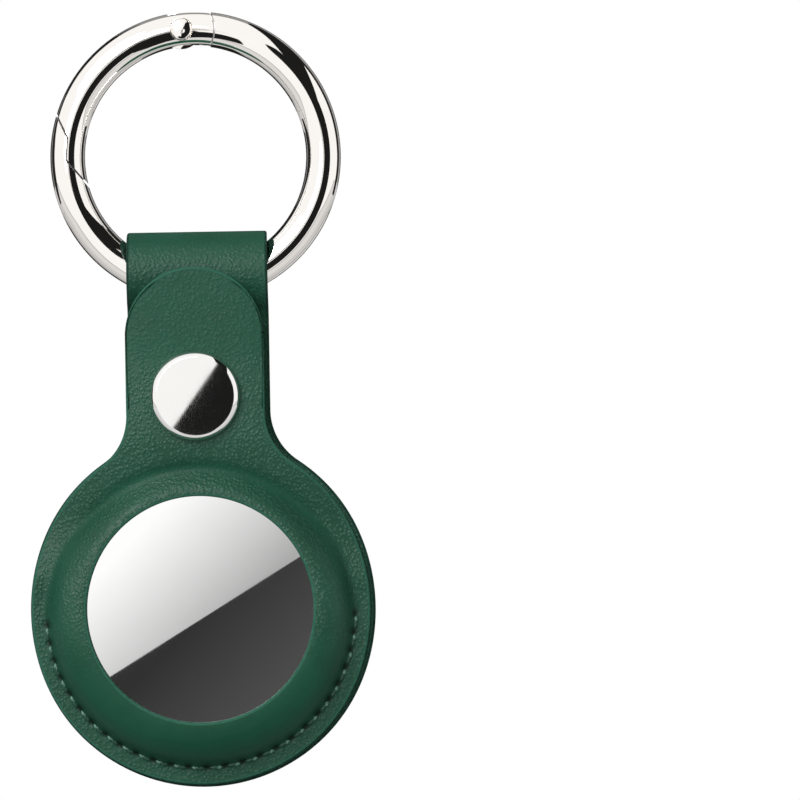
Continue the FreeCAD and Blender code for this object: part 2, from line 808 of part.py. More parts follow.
def seam_thread(label, face, way):
    """One thread of the case seam: a run on the leather's face and legs down to the middle of the seam."""
    body = new_body(label, z=disc_z)
    run_y = face + way * thread_r
    tail = Size(THREAD_TAIL_TURN)
    run = sketch_on(body, f"{label}_run", "XY_Plane")
    draw_circle(run, seam_r, run_y, thread_r)
    revolve(body, run, seam_span + 2 * tail)
    legs = sketch_on(body, f"{label}_leg", "XZ_Plane", -seam_y)
    draw_circle(legs, seam_r * cosine(tail), -seam_r * sine(tail), thread_r * LEG_SQUEEZE)
    leg_pad = pad(body, legs, leather + thread_r, backward=way > 0)
    around(body, [leg_pad], legs, cell("seam_stitches") + 1, seam_span, backward=True)
    body.Placement.Rotation = FreeCAD.Rotation(FreeCAD.Vector(0, 1, 0), (seam_start - tail).value)
    body.setExpression("Placement.Rotation.Angle", (seam_start - tail).text)
    return body


def strap_thread(label, face, way):
    """One thread of the row of stitches below the loop."""
    body = new_body(label, z=strap_stitch_z)
    run = sketch_on(body, f"{label}_run", "YZ_Plane")
    draw_circle(run, face + way * thread_r, ZERO, thread_r)
    pad(body, run, strap_stitch_span + 2 * cell("thread_dia"), both_ways=True)
    legs = sketch_on(body, f"{label}_leg", "XZ_Plane")
    draw_circle(legs, -strap_stitch_span / 2, ZERO, thread_r * LEG_SQUEEZE)
    leg_pad = pad(body, legs, layer + leather + thread_r, backward=way > 0)
    along(body, [leg_pad], legs, cell("strap_stitches") + 1, strap_stitch_span)
    return body


# Snap fastener

post_r = cell("snap_post_dia") / 2
post_bore = post_r - cell("snap_post_wall")
plate = cell("snap_plate_thickness")
SPLIT_RING_TURN = 310


def snap_cap(label, face, way):
    """A flat polished cap with a rounded edge, rolled over the flange of its post."""
    height = cell("snap_cap_height")
    wall = cell("snap_cap_wall")
    edge = cell("snap_cap_edge_radius")
    return turned_piece(label, [
        (0, face + way * height), (snap_cap_r - edge, face + way * height), Arc(edge, way < 0),
        (snap_cap_r, face + way * (height - edge)), (snap_cap_r, face), (snap_cap_r - wall, face),
        (snap_cap_r - wall, face + way * (height - edge)), Arc(edge - wall, way > 0),
        (snap_cap_r - edge, face + way * (height - wall)), (0, face + way * (height - wall)),
    ], z=snap_z)


def snap_post(label, face, way, depth):
    """A flange under the cap with a hollow post through the leather."""
    flange_r = snap_cap_r - cell("snap_cap_wall") - cell("snap_clearance")
    return turned_piece(label, [
        (post_bore, face + way * plate), (flange_r, face + way * plate), (flange_r, face),
        (post_r, face), (post_r, face - way * depth), (post_bore, face - way * depth),
    ], z=snap_z)


def snap_socket():
    """The spring half of the snap behind the tongue, with a mouth that the stud enters."""
    socket_r = cell("socket_dia") / 2
    bore_r = cell("socket_bore_dia") / 2
    mouth_r = cell("stud_head_dia") / 2 + cell("socket_play")
    depth = tongue_back + cell("socket_depth")
    hole_r = post_r + cell("snap_clearance")
    return turned_piece("snap_socket", [
        (hole_r, tongue_back), (socket_r, tongue_back), (socket_r, depth), (mouth_r, depth),
        (mouth_r, depth - plate), (bore_r, depth - plate), (bore_r, tongue_back + plate),
        (hole_r, tongue_back + plate),
    ], z=snap_z)


def snap_socket_spring():
    """A split wire ring behind the socket's mouth that grips the stud's neck."""
    wire = cell("socket_spring_wire_dia") / 2
    body = new_body("snap_socket_spring", z=snap_z)
    section = sketch_on(body, "grip_section", "XY_Plane")
    ring = cell("stud_neck_dia") / 2 + cell("snap_clearance") + wire
    draw_circle(section, ring, tongue_back + cell("socket_depth") - plate - wire, wire)
    revolve(body, section, Size(SPLIT_RING_TURN))
    return body


def snap_stud():
    """The stud on the front of the neck, with a head wider than its neck."""
    base_r = cell("stud_base_dia") / 2
    head_r = cell("stud_head_dia") / 2
    neck_r = cell("stud_neck_dia") / 2
    bore_r = post_r + cell("needle_clearance")
    top = tongue_back + 2 * plate + 2 * cell("snap_clearance")
    head = top + cell("stud_head_height")
    return turned_piece("snap_stud", [
        (bore_r, seam_y), (base_r, seam_y), (base_r, seam_y - plate), (neck_r, seam_y - plate),
        (neck_r, head), (head_r, head), (head_r, top), (0, top), (0, top + plate), (bore_r, top + plate),
    ], z=snap_z)


# Disc tag, with its own origin at the middle of its thickness

opening_r = cover_r + cell("cover_gap")
cover_back = cell("cover_thickness") - tag_half
skirt_back = cover_back + cell("cover_skirt_depth")
cell_front = cover_back + cell("cover_gap")
cell_back = cell_front + cell("cell_thickness")
frame_back = cell_back + cell("frame_floor")
board_back = frame_back + cell("board_thickness")
cell_r = cell("cell_dia") / 2
magnet_hole_r = cell("magnet_dia") / 2 + cell("cover_gap")
contact_middle = (magnet_hole_r + cell_r - cell("cell_step")) / 2
contact_start = contact_middle - cell("contact_length") / 2
contact_end = contact_middle + cell("contact_length") / 2
COVER_TAB_TURN = 16
TRIPLE = 3
tag_wall = cell("tag_wall")
frame_r = tag_r - tag_wall - cell("cover_gap")


def tag_base_shell():
    """The plastic back with its rounded edge and the lip that the steel cover turns behind."""
    lip_front = front_edge_y - leg(edge_r, opening_r - edge_x)
    inner_edge = edge_r - tag_wall
    tilt_x, tilt_y = sine(dome_angle), cosine(dome_angle)
    lip_back = front_edge_y - leg(inner_edge, opening_r - edge_x)
    return turned_piece("tag_base_shell", [
        (opening_r, lip_front), Arc(edge_r, True), (tag_r, front_edge_y),
        (tag_r, back_edge_y), Arc(edge_r, True), (dome_x, back_edge_y + edge_r * tilt_y),
        Arc(dome_r, True), (0, tag_half), (0, tag_half - tag_wall), Arc(dome_r - tag_wall, False),
        (edge_x + inner_edge * tilt_x, back_edge_y + inner_edge * tilt_y), Arc(inner_edge, False),
        (tag_r - tag_wall, back_edge_y), (tag_r - tag_wall, front_edge_y), Arc(inner_edge, False),
        (opening_r, lip_back),
    ], y=seam_y, z=disc_z)


def tag_battery_cover():
    """The steel cover: a flat disc with a skirt and three bayonet tabs that catch behind the shell's lip."""
    body = new_body("tag_battery_cover", y=seam_y, z=disc_z)
    wall = cell("cover_thickness")
    profile = sketch_on(body, "cover_profile", "XY_Plane")
    draw_outline(profile, [
        (0, -tag_half), (cover_r, -tag_half), (cover_r, skirt_back), (cover_r - wall, skirt_back),
        (cover_r - wall, cover_back), (0, cover_back),
    ])
    revolve(body, profile)
    tab = sketch_on(body, "cover_tab", "XY_Plane")
    reach = cover_r + cell("cover_tab_reach")
    draw_outline(tab, [
        (cover_r - wall / 2, skirt_back - wall), (reach, skirt_back - wall),
        (reach, skirt_back), (cover_r - wall / 2, skirt_back),
    ])
    tabs = revolve(body, tab, Size(COVER_TAB_TURN))
    face = sketch_on(body, "tab_spread", "XZ_Plane")
    draw_circle(face, ZERO, ZERO, cover_r)
    around(body, [tabs], face, Size(TRIPLE), Size(360))
    return body


def tag_coin_cell():
    can = cell("cell_step")
    return turned_piece("tag_coin_cell", [
        (0, cell_front), (cell_r, cell_front), (cell_r, cell_back - can), (cell_r - can, cell_back - can),
        (cell_r - can, cell_back), (0, cell_back),
    ], y=seam_y, z=disc_z)


def tag_antenna_frame():
    """The plastic tray against the shell, with a wall round the cell behind the cover and contact slots."""
    body = new_body("tag_antenna_frame", y=seam_y, z=disc_z)
    inner = cell_r + cell("cover_gap")
    outer = inner + cell("frame_wall")
    wall_front = skirt_back + cell("cover_gap")
    profile = sketch_on(body, "frame_profile", "XY_Plane")
    draw_outline(profile, [
        (magnet_hole_r, cell_back), (inner, cell_back), (inner, wall_front), (outer, wall_front),
        (outer, cell_back), (frame_r, cell_back), (frame_r, frame_back), (magnet_hole_r, frame_back),
    ])
    revolve(body, profile)
    slot = sketch_on(body, "contact_slot", "XZ_Plane")
    half = cell("contact_width") / 2 + cell("cover_gap")
    start = contact_start - cell("cover_gap")
    end = contact_end + cell("cover_gap")
    draw_outline(slot, [(start, -half), (end, -half), (end, half), (start, half)])
    around(body, [pocket(body, slot)], slot, Size(TRIPLE), Size(360))
    return body


def tag_circuit_board():
    edge = frame_r - cell("board_margin")
    return turned_piece("tag_circuit_board", [
        (magnet_hole_r, frame_back), (edge, frame_back), (edge, board_back), (magnet_hole_r, board_back),
    ], y=seam_y, z=disc_z)


def tag_contact_springs():
    """Three bent strips in the frame's slots, from the circuit board to the back of the cell."""
    body = new_body("tag_contact_springs", y=seam_y, z=disc_z)
    thin = cell("contact_thickness")
    third = cell("contact_length") / 3
    strip = sketch_on(body, "contact_strip", "XY_Plane")
    draw_outline(strip, [
        (contact_start, frame_back), (contact_start + third, frame_back),
        (contact_end - third, cell_back + thin), (contact_end, cell_back + thin), (contact_end, cell_back),
        (contact_end - third, cell_back), (contact_start + third, frame_back - thin),
        (contact_start, frame_back - thin),
    ])
    bent = pad(body, strip, cell("contact_width"), both_ways=True)
    face = sketch_on(body, "contact_spread", "XZ_Plane")
    draw_circle(face, ZERO, ZERO, contact_end)
    around(body, [bent], face, Size(TRIPLE), Size(360))
    return body


def tag_speaker_magnet():
    magnet_r = cell("magnet_dia") / 2
    front = cell_back + cell("cover_gap")
    return turned_piece("tag_speaker_magnet", [
        (0, front), (magnet_r, front), (magnet_r, front + cell("magnet_thickness")),
        (0, front + cell("magnet_thickness")),
    ], y=seam_y, z=disc_z)


def tag_voice_coil():
    """The coil glued to the middle of the domed back, which rings the magnet."""
    inner = cell("magnet_dia") / 2 + 2 * cell("cover_gap")
    outer = inner + cell("coil_wall")
    top = tag_half - dome_r + leg(dome_r - tag_wall, outer)
    return turned_piece("tag_voice_coil", [
        (inner, top - cell("coil_height")), (outer, top - cell("coil_height")), (outer, top), (inner, top),
    ], y=seam_y, z=disc_z)


PIECES = [
    ring_body(),
    ring_gate(),
    gate_pivot_pin(),
    gate_spring(),
    back_panel(),
    front_panel_lower(),
    front_flap(),
    seam_thread("seam_needle_thread", margin_front, -1),
    seam_thread("seam_bobbin_thread", neck_back, 1),
    strap_thread("strap_needle_thread", fold_back, 1),
    strap_thread("strap_bobbin_thread", seam_y, -1),
    snap_cap("snap_front_cap", tongue_front, -1),
    snap_post("snap_front_post", tongue_front, -1, leather + 2 * plate),
    snap_socket(),
    snap_socket_spring(),
    snap_stud(),
    snap_cap("snap_back_cap", fold_back, 1),
    snap_post("snap_back_post", fold_back, 1, 2 * (layer + leather) + 2 * plate),
    tag_base_shell(),
    tag_battery_cover(),
    tag_coin_cell(),
    tag_antenna_frame(),
    tag_circuit_board(),
    tag_speaker_magnet(),
    tag_voice_coil(),
    tag_contact_springs(),
]

doc.recompute()
failed = [item.Name for item in doc.Objects if {"Invalid", "Error"} & set(item.State)]
failed += [piece.Label for piece in PIECES if piece.Shape.isNull() or not piece.Shape.isValid()]
if failed:
    raise ValueError(f"these did not build: {failed}")

os.makedirs("parts", exist_ok=True)
for piece in PIECES:
    piece.Shape.exportStep(f"parts/{piece.Label}.step")
    print(piece.Label, len(piece.Shape.Solids), "solid,", round(piece.Shape.Volume, 2), "mm3")
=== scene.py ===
"""Looks of a leather holder for a round tracker tag, hung on a spring-gate ring.

Lengths are in millimetres, apart from the lights, and become metres where meshes are made. The frame
has its origin at the centre of the ring, +Z up and the front of the holder towards -Y.
"""
import json
import math

import bmesh
import bpy
import numpy as np
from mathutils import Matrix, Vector


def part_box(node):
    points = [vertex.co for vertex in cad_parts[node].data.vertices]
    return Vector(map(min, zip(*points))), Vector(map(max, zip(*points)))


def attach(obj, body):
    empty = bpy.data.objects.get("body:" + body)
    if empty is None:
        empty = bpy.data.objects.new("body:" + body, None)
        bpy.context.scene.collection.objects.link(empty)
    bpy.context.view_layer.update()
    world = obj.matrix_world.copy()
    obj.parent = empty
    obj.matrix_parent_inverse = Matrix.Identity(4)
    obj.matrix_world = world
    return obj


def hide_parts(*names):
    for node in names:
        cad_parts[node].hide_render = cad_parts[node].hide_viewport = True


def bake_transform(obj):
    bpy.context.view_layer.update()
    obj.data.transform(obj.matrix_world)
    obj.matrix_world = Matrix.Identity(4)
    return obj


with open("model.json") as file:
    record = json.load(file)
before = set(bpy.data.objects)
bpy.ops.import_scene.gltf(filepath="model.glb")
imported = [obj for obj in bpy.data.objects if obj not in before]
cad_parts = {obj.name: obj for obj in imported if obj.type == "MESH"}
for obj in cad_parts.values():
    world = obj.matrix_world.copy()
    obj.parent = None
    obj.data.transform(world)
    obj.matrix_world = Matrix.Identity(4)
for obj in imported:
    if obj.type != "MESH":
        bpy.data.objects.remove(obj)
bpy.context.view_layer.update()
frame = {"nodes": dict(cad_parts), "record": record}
scene = bpy.context.scene
MM = 0.001


def put(name, data):
    """A new object in the scene."""
    thing = bpy.data.objects.new(name, data)
    scene.collection.objects.link(thing)
    return thing


def full_turn(steps):
    """Angles all the way round, in radians."""
    return np.linspace(0, 2 * math.pi, steps, endpoint=False)


def middle_of(node):
    """The middle of a CAD node's box, in millimetres."""
    low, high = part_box(node)
    return (low + high) / 2 / MM


# Measures of the holder

DISC_Z = middle_of("tag_base_shell").z
SNAP_Z = middle_of("snap_front_cap").z
STRAP_STITCH_Z = middle_of("strap_needle_thread").z
STRAP_BELOW_SNAP = 6.2
STRAP_END_Z = SNAP_Z - STRAP_BELOW_SNAP
TONGUE_TIP_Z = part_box("front_flap")[1].z / MM

LEATHER = 1.2
LAYER_GAP = 0.05
NECK_MIDDLE_Y = -LAYER_GAP - LEATHER / 2
FOLD_MIDDLE_Y = LAYER_GAP + LEATHER / 2
MARGIN_FRONT = 2 * LEATHER + LAYER_GAP
DISC_R = 19.8
SEAM_R = 17.65
WINDOW_R = 12.95
SHOULDER_R = 7.0
CORNER_TURN = math.radians(30)
MARGIN_LIFT = 1.2
MARGIN_DROP = 0.2
HALF_TONGUE = 7.95
HALF_STRAP = 8.1
HALF_FOLD = 7.8
FOLD_CORNER_R = 1.4
TONGUE_LEAN = -0.4
FRONT_DISC_R = 19.45
FRONT_SHIFT = -0.25
WINDOW_RISE = 0.5

CREST_R = 13.4
CREST_FRONT = 6.6
BULGE_R = 3.95
STEEPEST = math.radians(66)
FOOT_SOFTNESS = 0.5
BEND_SOFTNESS = 1.0
BEND_RISE = 1.5
TONGUE_FRONT = 6.139
KNEE_BELOW_SNAP = 5.35
KNEE_RISE = SNAP_Z - KNEE_BELOW_SNAP - DISC_Z
RIDGE_WIDTH = 2.2
VALLEY_R = 16.6
VALLEY_WIDTH = 1.0
VALLEY_DEPTH = 0.35
NECK_FLAT = 4.0
NECK_CURL = 0.011

BACK_DOME_R = 196.0
BACK_DOME_ANGLE = math.radians(4)
BACK_TOP = 4.1
BACK_BULGE_Y = -0.318

LOOP_Z = -13.32
LOOP_MIDDLE_R = 4.1
FLARE_R = 3.0
FLARE_ACROSS = LAYER_GAP + LEATHER / 2 + FLARE_R
FLARE_SPAN = LOOP_MIDDLE_R + FLARE_R
FLARE_DROP = math.sqrt(FLARE_SPAN ** 2 - FLARE_ACROSS ** 2)
FLARE_Z = LOOP_Z - FLARE_DROP

SEAM_STITCHES = 26
SEAM_LEFT = 183.4
SEAM_RIGHT = 359.0
SEAM_ANGLES = np.radians(np.linspace(SEAM_LEFT, SEAM_RIGHT, SEAM_STITCHES + 1))
STRAP_STITCHES = 7
STRAP_STITCH_SPAN = 14.7
STRAP_STITCH_X = np.linspace(-STRAP_STITCH_SPAN / 2, STRAP_STITCH_SPAN / 2, STRAP_STITCHES + 1)


# Camera: the photo's scale at the ring, the place of its middle from the centre of the ring, and the
# slight tilt at which the holder lies in it

FRAME_WIDTH = 91.95
FRAME_MIDDLE_X = 23.0
FRAME_MIDDLE_Z = -28.36
FRAME_TILT = math.radians(1)
CAMERA_DISTANCE = 1000.0
SENSOR = 36.0

camera_data = bpy.data.cameras.new("camera")
camera_data.sensor_width = SENSOR
camera_data.lens = SENSOR * CAMERA_DISTANCE / FRAME_WIDTH
camera = put("camera", camera_data)
camera.location = Vector((FRAME_MIDDLE_X, -CAMERA_DISTANCE, FRAME_MIDDLE_Z)) * MM
camera.rotation_euler = (math.radians(90), FRAME_TILT, 0)
scene.camera = camera
scene.view_settings.view_transform = "Standard"


# Materials

class Nodes:
    """Short ways to add and join nodes of a material or a world."""

    def __init__(self, owner):
        owner.use_nodes = True
        self.tree = owner.node_tree

    def feed(self, socket, value):
        """Joins an output to a socket, or gives the socket a plain value."""
        if isinstance(value, bpy.types.NodeSocket):
            self.tree.links.new(value, socket)
        else:
            socket.default_value = value

    def add(self, kind, inputs=None, **settings):
        """A node with its settings, and with what its inputs get, by their names or numbers."""
        node = self.tree.nodes.new(kind)
        for key, value in settings.items():
            setattr(node, key, value)
        for key, value in (inputs or {}).items():
            self.feed(node.inputs[key], value)
        return node

    def span(self, value, low, high, start=0.0, end=1.0):
        """A value spread from low to high onto start to end."""
        inputs = {"Value": value, "From Min": low, "From Max": high, "To Min": start, "To Max": end}
        return self.add("ShaderNodeMapRange", inputs).outputs["Result"]

    def combine(self, first, second, operation="ADD"):
        return self.add("ShaderNodeMath", {0: first, 1: second}, operation=operation).outputs["Value"]


class Shader(Nodes):
    """A material with one surface shader."""

    def __init__(self, name):
        self.material = bpy.data.materials.new(name)
        super().__init__(self.material)
        self.surface = self.tree.nodes["Principled BSDF"]

    def set(self, **values):
        """Gives the surface's inputs, named in small letters, their values."""
        for key, value in values.items():
            name = key.replace("_", " ").title().replace("Ior", "IOR")
            self.feed(self.surface.inputs[name], value)

    def stored(self, name, output="Fac"):
        """What is stored under that name at each vertex."""
        return self.add("ShaderNodeAttribute", attribute_name=name).outputs[output]

    def place(self):
        """Positions at rest, so that a pattern stays on its piece when the piece moves."""
        return self.stored("rest", "Vector")

    def noise(self, size, detail=2.0, place=None):
        """Noise whose features are about that many millimetres across."""
        inputs = {"Scale": 1 / (size * MM), "Detail": detail, "Vector": place or self.place()}
        return self.add("ShaderNodeTexNoise", inputs).outputs["Fac"]

    def cells(self, size, place, smoothness):
        """Rounded pebbles about that many millimetres across."""
        inputs = {"Scale": 1 / (size * MM), "Smoothness": smoothness, "Vector": place}
        return self.add("ShaderNodeTexVoronoi", inputs, feature="SMOOTH_F1").outputs["Distance"]

    def blend(self, share, first, second):
        """A colour between two colours."""
        first, second = [(*value, 1) if isinstance(value, tuple) else value for value in (first, second)]
        return self.add("ShaderNodeMix", {"Factor": share, 6: first, 7: second}, data_type="RGBA").outputs[2]

    def bump(self, height, depth, strength=1.0):
        """Relief of that many millimetres."""
        inputs = {"Strength": strength, "Distance": depth * MM, "Height": height}
        self.set(normal=self.add("ShaderNodeBump", inputs).outputs["Normal"])


WHITE = (1, 1, 1, 1)
NOISE_SPAN = (0.3, 0.7)
LEATHER_GREEN = (0.0105, 0.068, 0.039)
LEATHER_DARK = (0.008, 0.056, 0.031)
LEATHER_PALE = (0.017, 0.082, 0.05)
LEATHER_GLOSS = 0.3
DRAWN_GLOSS = 0.1
# Colour of the painted shade in the needle holes
HOLE_SHADE = (0.002, 0.006, 0.004)
SUEDE_TINTS = ((0.012, 0.05, 0.032), (0.03, 0.09, 0.062))
THREAD_TINTS = ((0.008, 0.05, 0.028), (0.016, 0.078, 0.048))
# Colour of the painted highlight on each stitch
THREAD_HIGHLIGHT = (0.11, 0.24, 0.18)
NAP_SIZE = 0.12
FIBRE_SIZE = 0.09
HAZE_SIZE = 3.0
HAIR_SIZE = 0.05
HAIR_TURN = (0.3, 0.9, 0.4)
HAIR_STRETCH = (1.0, 1.0, 0.04)
GRAIN_DRIFT_SIZE = 1.6
GRAIN_DRIFT = 0.35
PEBBLE_SIZE = 0.4
PORE_SIZE = 0.14
PORE_SHARE = 0.35
CLOUD_SIZE = 7.0
GRAIN_STRENGTH = 1.4
DRAWN_STRENGTH = 0.12
GRAIN_DEPTH = 0.06


def leather_grain():
    """Pebbled leather, smooth where it is drawn over a form, with painted shade in the needle holes."""
    shader = Shader("leather_grain")
    drift = shader.add("ShaderNodeTexNoise", {"Scale": 1 / (GRAIN_DRIFT_SIZE * MM), "Vector": shader.place()})
    moves = {0: drift.outputs["Color"], 1: (GRAIN_DRIFT * MM,) * 3, 2: shader.place()}
    warp = shader.add("ShaderNodeVectorMath", moves, operation="MULTIPLY_ADD")
    pebbles = shader.cells(PEBBLE_SIZE, warp.outputs["Vector"], 0.35)
    cloud = shader.noise(CLOUD_SIZE, 3.0)
    drawn = shader.stored("drawn")
    grain = shader.span(drawn, 0.0, 1.0, GRAIN_STRENGTH, DRAWN_STRENGTH)
    # Pebble tops are paler than the crevices between them: partly the grain's own pattern, partly painted
    # shade in the crevices
    top = shader.combine(shader.span(pebbles, 0.1, 0.45, 1.0, 0.0), grain, "MULTIPLY")
    tone = shader.blend(shader.span(cloud, 0.35, 0.65), LEATHER_DARK, LEATHER_GREEN)
    tone = shader.blend(top, tone, LEATHER_PALE)
    shader.set(base_color=shader.blend(shader.stored("hole"), tone, HOLE_SHADE),
               specular_ior_level=shader.span(drawn, 0.0, 1.0, LEATHER_GLOSS, DRAWN_GLOSS),
               roughness=shader.span(shader.noise(1.1, 3.0), *NOISE_SPAN, 0.4, 0.52))
    pores = shader.combine(shader.noise(PORE_SIZE), PORE_SHARE, "MULTIPLY")
    relief = shader.combine(shader.span(pebbles, 0.0, 0.6, 1.0, 0.0), pores)
    shader.bump(shader.combine(relief, grain, "MULTIPLY"), GRAIN_DEPTH)
    return shader.material


def cut_edge(name, tints, cloud_size, gloss, relief_size, depth):
    """The cut edge of the leather under paint, or a little paler as a painted highlight on a rounded lip."""
    shader = Shader(name)
    cloud = shader.span(shader.noise(cloud_size, 3.0), *NOISE_SPAN)
    shader.set(base_color=shader.blend(cloud, *tints), specular_ior_level=gloss,
               roughness=shader.span(shader.noise(0.5), *NOISE_SPAN, 0.6, 0.75))
    shader.bump(shader.noise(relief_size, 3.0), depth, 0.6)
    return shader.material


def suede_backing():
    shader = Shader("suede_backing")
    nap = shader.noise(NAP_SIZE, 4.0)
    shader.set(base_color=shader.blend(nap, *SUEDE_TINTS), roughness=0.95)
    shader.bump(nap, 0.05, 0.8)
    return shader.material


def sewing_thread():
    """Thread with a painted highlight near the upper end of each stitch, where it bends down into the
    leather.
    """
    shader = Shader("sewing_thread")
    fibre = shader.noise(FIBRE_SIZE, 3.0)
    plain = shader.blend(shader.span(fibre, *NOISE_SPAN), *THREAD_TINTS)
    shader.set(base_color=shader.blend(shader.stored("thread_highlight"), plain, THREAD_HIGHLIGHT), roughness=0.5)
    shader.bump(fibre, 0.02, 0.7)
    return shader.material


def polished_metal(name, tint, gloss, scratch):
    """Plated metal with a faint haze and hairline scratches."""
    shader = Shader(name)
    haze = shader.noise(HAZE_SIZE, 4.0)
    stretch = {"Rotation": HAIR_TURN, "Scale": HAIR_STRETCH, "Vector": shader.place()}
    hair = shader.noise(HAIR_SIZE, place=shader.add("ShaderNodeMapping", stretch).outputs["Vector"])
    rough = shader.combine(shader.span(haze, *NOISE_SPAN, gloss * 0.7, gloss * 1.3),
                           shader.span(hair, 0.62, 0.8, 0.0, scratch))
    dull = tuple(0.985 * part for part in tint)
    shine = shader.blend(shader.span(haze, *NOISE_SPAN), dull, tint)
    shader.set(base_color=shine, metallic=1.0, roughness=rough)
    shader.bump(hair, 0.001, scratch)
    return shader.material


def moulded_plastic(name, tint, roughness):
    shader = Shader(name)
    dull = tuple(0.9 * part for part in tint)
    shader.set(base_color=shader.blend(shader.noise(2.0, 3.0), dull, tint),
               roughness=shader.span(shader.noise(0.2), *NOISE_SPAN, roughness * 0.85, roughness * 1.15))
    shader.bump(shader.noise(0.08), 0.004, 0.5)
    return shader.material


PAINTED_EDGE = ((0.006, 0.026, 0.018), (0.014, 0.048, 0.033))
# Paler tints of the rounded lip: a painted highlight
LIP_HIGHLIGHT = ((0.022, 0.092, 0.06), (0.035, 0.115, 0.08))
METALS = {
    "chrome": ((0.96, 0.925, 0.885), 0.03, 0.03),
    "nickel": ((0.93, 0.915, 0.89), 0.015, 0.02),
    "snap_brass": ((0.75, 0.6, 0.34), 0.2, 0.1),
    "spring_steel": ((0.55, 0.55, 0.54), 0.22, 0.1),
    "mirror_steel": ((0.95, 0.95, 0.945), 0.006, 0.002),
    "cell_steel": ((0.68, 0.68, 0.67), 0.24, 0.12),
    "magnet": ((0.4, 0.4, 0.41), 0.3, 0.1),
    "copper": ((0.78, 0.38, 0.2), 0.28, 0.1),
}
PLASTICS = {
    "white_plastic": ((0.82, 0.82, 0.8), 0.3),
    "black_plastic": ((0.02, 0.02, 0.022), 0.45),
    "board": ((0.02, 0.07, 0.035), 0.4),
}
MATERIALS = {
    "leather": leather_grain(),
    "edge": cut_edge("painted_edge", PAINTED_EDGE, 0.9, 0.05, 0.35, 0.03),
    "lip": cut_edge("lip_painted_highlight", LIP_HIGHLIGHT, 0.5, 0.03, 0.2, 0.02),
    "suede": suede_backing(),
    "thread": sewing_thread(),
    **{name: polished_metal(name, *look) for name, look in METALS.items()},
    **{name: moulded_plastic(name, *look) for name, look in PLASTICS.items()},
}


def read(items, key):
    """A vector of each item, as rows of a table."""
    values = np.empty(len(items) * 3, np.float32)
    items.foreach_get(key, values)
    return values.reshape(-1, 3)


def keep_rest(mesh):
    """Stores each vertex's place at rest for the materials."""
    attribute = mesh.attributes.get("rest") or mesh.attributes.new("rest", "FLOAT_VECTOR", "POINT")
    attribute.data.foreach_set("vector", read(mesh.vertices, "co").ravel())


# The CAD nodes that stay get the finishes that the record names
for subpart in frame["record"]["subparts"]:
    solid = frame["nodes"][subpart["node"]].data
    keep_rest(solid)
    solid.materials.clear()
    solid.materials.append(MATERIALS[subpart["material_slot"]])


# Meshes from rows of points

def settle(mesh):
    """Shades a mesh smooth and stores its places at rest."""
    mesh.polygons.foreach_set("use_smooth", [True] * len(mesh.polygons))
    keep_rest(mesh)


def new_piece(name, points, faces, *finishes):
    """A smooth piece from points in millimetres."""
    mesh = bpy.data.meshes.new(name)
    mesh.from_pydata([tuple(point * MM) for point in np.asarray(points, float)], [], faces)
    settle(mesh)
    for finish in finishes:
        mesh.materials.append(MATERIALS[finish])
    return put(name, mesh)


def numbers(points):
    """Vertex numbers of a table of points."""
    return np.arange(points.shape[0] * points.shape[1]).reshape(points.shape[:2])


def quads(index, closed=False):
    """Faces between the rows of a table of vertex numbers."""
    if closed:
        index = np.concatenate([index, index[:, :1]], axis=1)
    low = index[:-1]
    high = index[1:]
    return np.stack([low[:, :-1], low[:, 1:], high[:, 1:], high[:, :-1]], axis=-1).reshape(-1, 4).tolist()


def fan(tip, ring):
    """Faces between one vertex and a closed ring of vertices."""
    return [[tip, int(there), int(here)] for here, there in zip(ring, np.roll(ring, -1))]


def bars(name, runs, finish):
    """A piece of bars with closed ends, from the rings of points along each."""
    points = []
    faces = []
    for rings in runs:
        index = len(points) + numbers(rings)
        points.extend(rings.reshape(-1, 3))
        faces += quads(index, closed=True) + [index[0][::-1].tolist(), index[-1].tolist()]
    return new_piece(name, points, faces, finish)


def fit(piece, body, node):
    """Puts a piece on its body, in place of a CAD node."""
    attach(piece, body)
    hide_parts(node)


def apply_modifiers(piece):
    """Makes a piece's modifiers permanent."""
    graph = bpy.context.evaluated_depsgraph_get()
    mesh = bpy.data.meshes.new_from_object(piece.evaluated_get(graph))
    piece.modifiers.clear()
    piece.data = mesh
    settle(mesh)


def soft_max(first, second, softness):
    """The larger of two heights, with a rounded valley where they meet."""
    apart = first - second
    return (first + second + np.sqrt(apart * apart + softness * softness)) / 2


def smooth_step(value, low, high):
    share = np.clip((value - low) / (high - low), 0, 1)
    return share * share * (3 - 2 * share)


# Ring

RING_R = 14.7
WIRE_R = 2.0
RING_STEPS = 240
WIRE_STEPS = 64
OUTSIDE = RING_R + 2 * WIRE_R
INSIDE = RING_R - 2 * WIRE_R
THROUGH = 1.5 * WIRE_R
PIVOT_ANGLE = 95.3
LATCH_ANGLE = 175.3
LAP_LENGTH = 2.6
LAP_OUTER_SLOPE = 30
LAP_INNER_SLOPE = 45
LATCH_GAP = 0.16
TAIL_R = 3.7
TAIL_GAP = 0.2
TAIL_SPREAD = 55
TAIL_ENDS = np.radians((PIVOT_ANGLE - 90 - TAIL_SPREAD, PIVOT_ANGLE - 90 + TAIL_SPREAD))
EYE_R = 2.25
HINGE_TURN = -3.7
HINGE_HALF_HEIGHT = 1.2
HINGE_HALF_THICKNESS = 0.65
HINGE_CLEARANCE = 0.12
CROWN_SINK = 0.08
CROWN_R = RING_R + WIRE_R - CROWN_SINK
PIN_R = 0.75
PIN_HEAD_R = 1.25
PIN_CLEARANCE = 0.08
PIN_SEAT = 1.47
PIN_DOME = ((0.0, 0.0), (0.5, 0.02), (0.9, 0.07), (1.08, 0.13), (1.2, 0.22), (PIN_HEAD_R, 0.36))
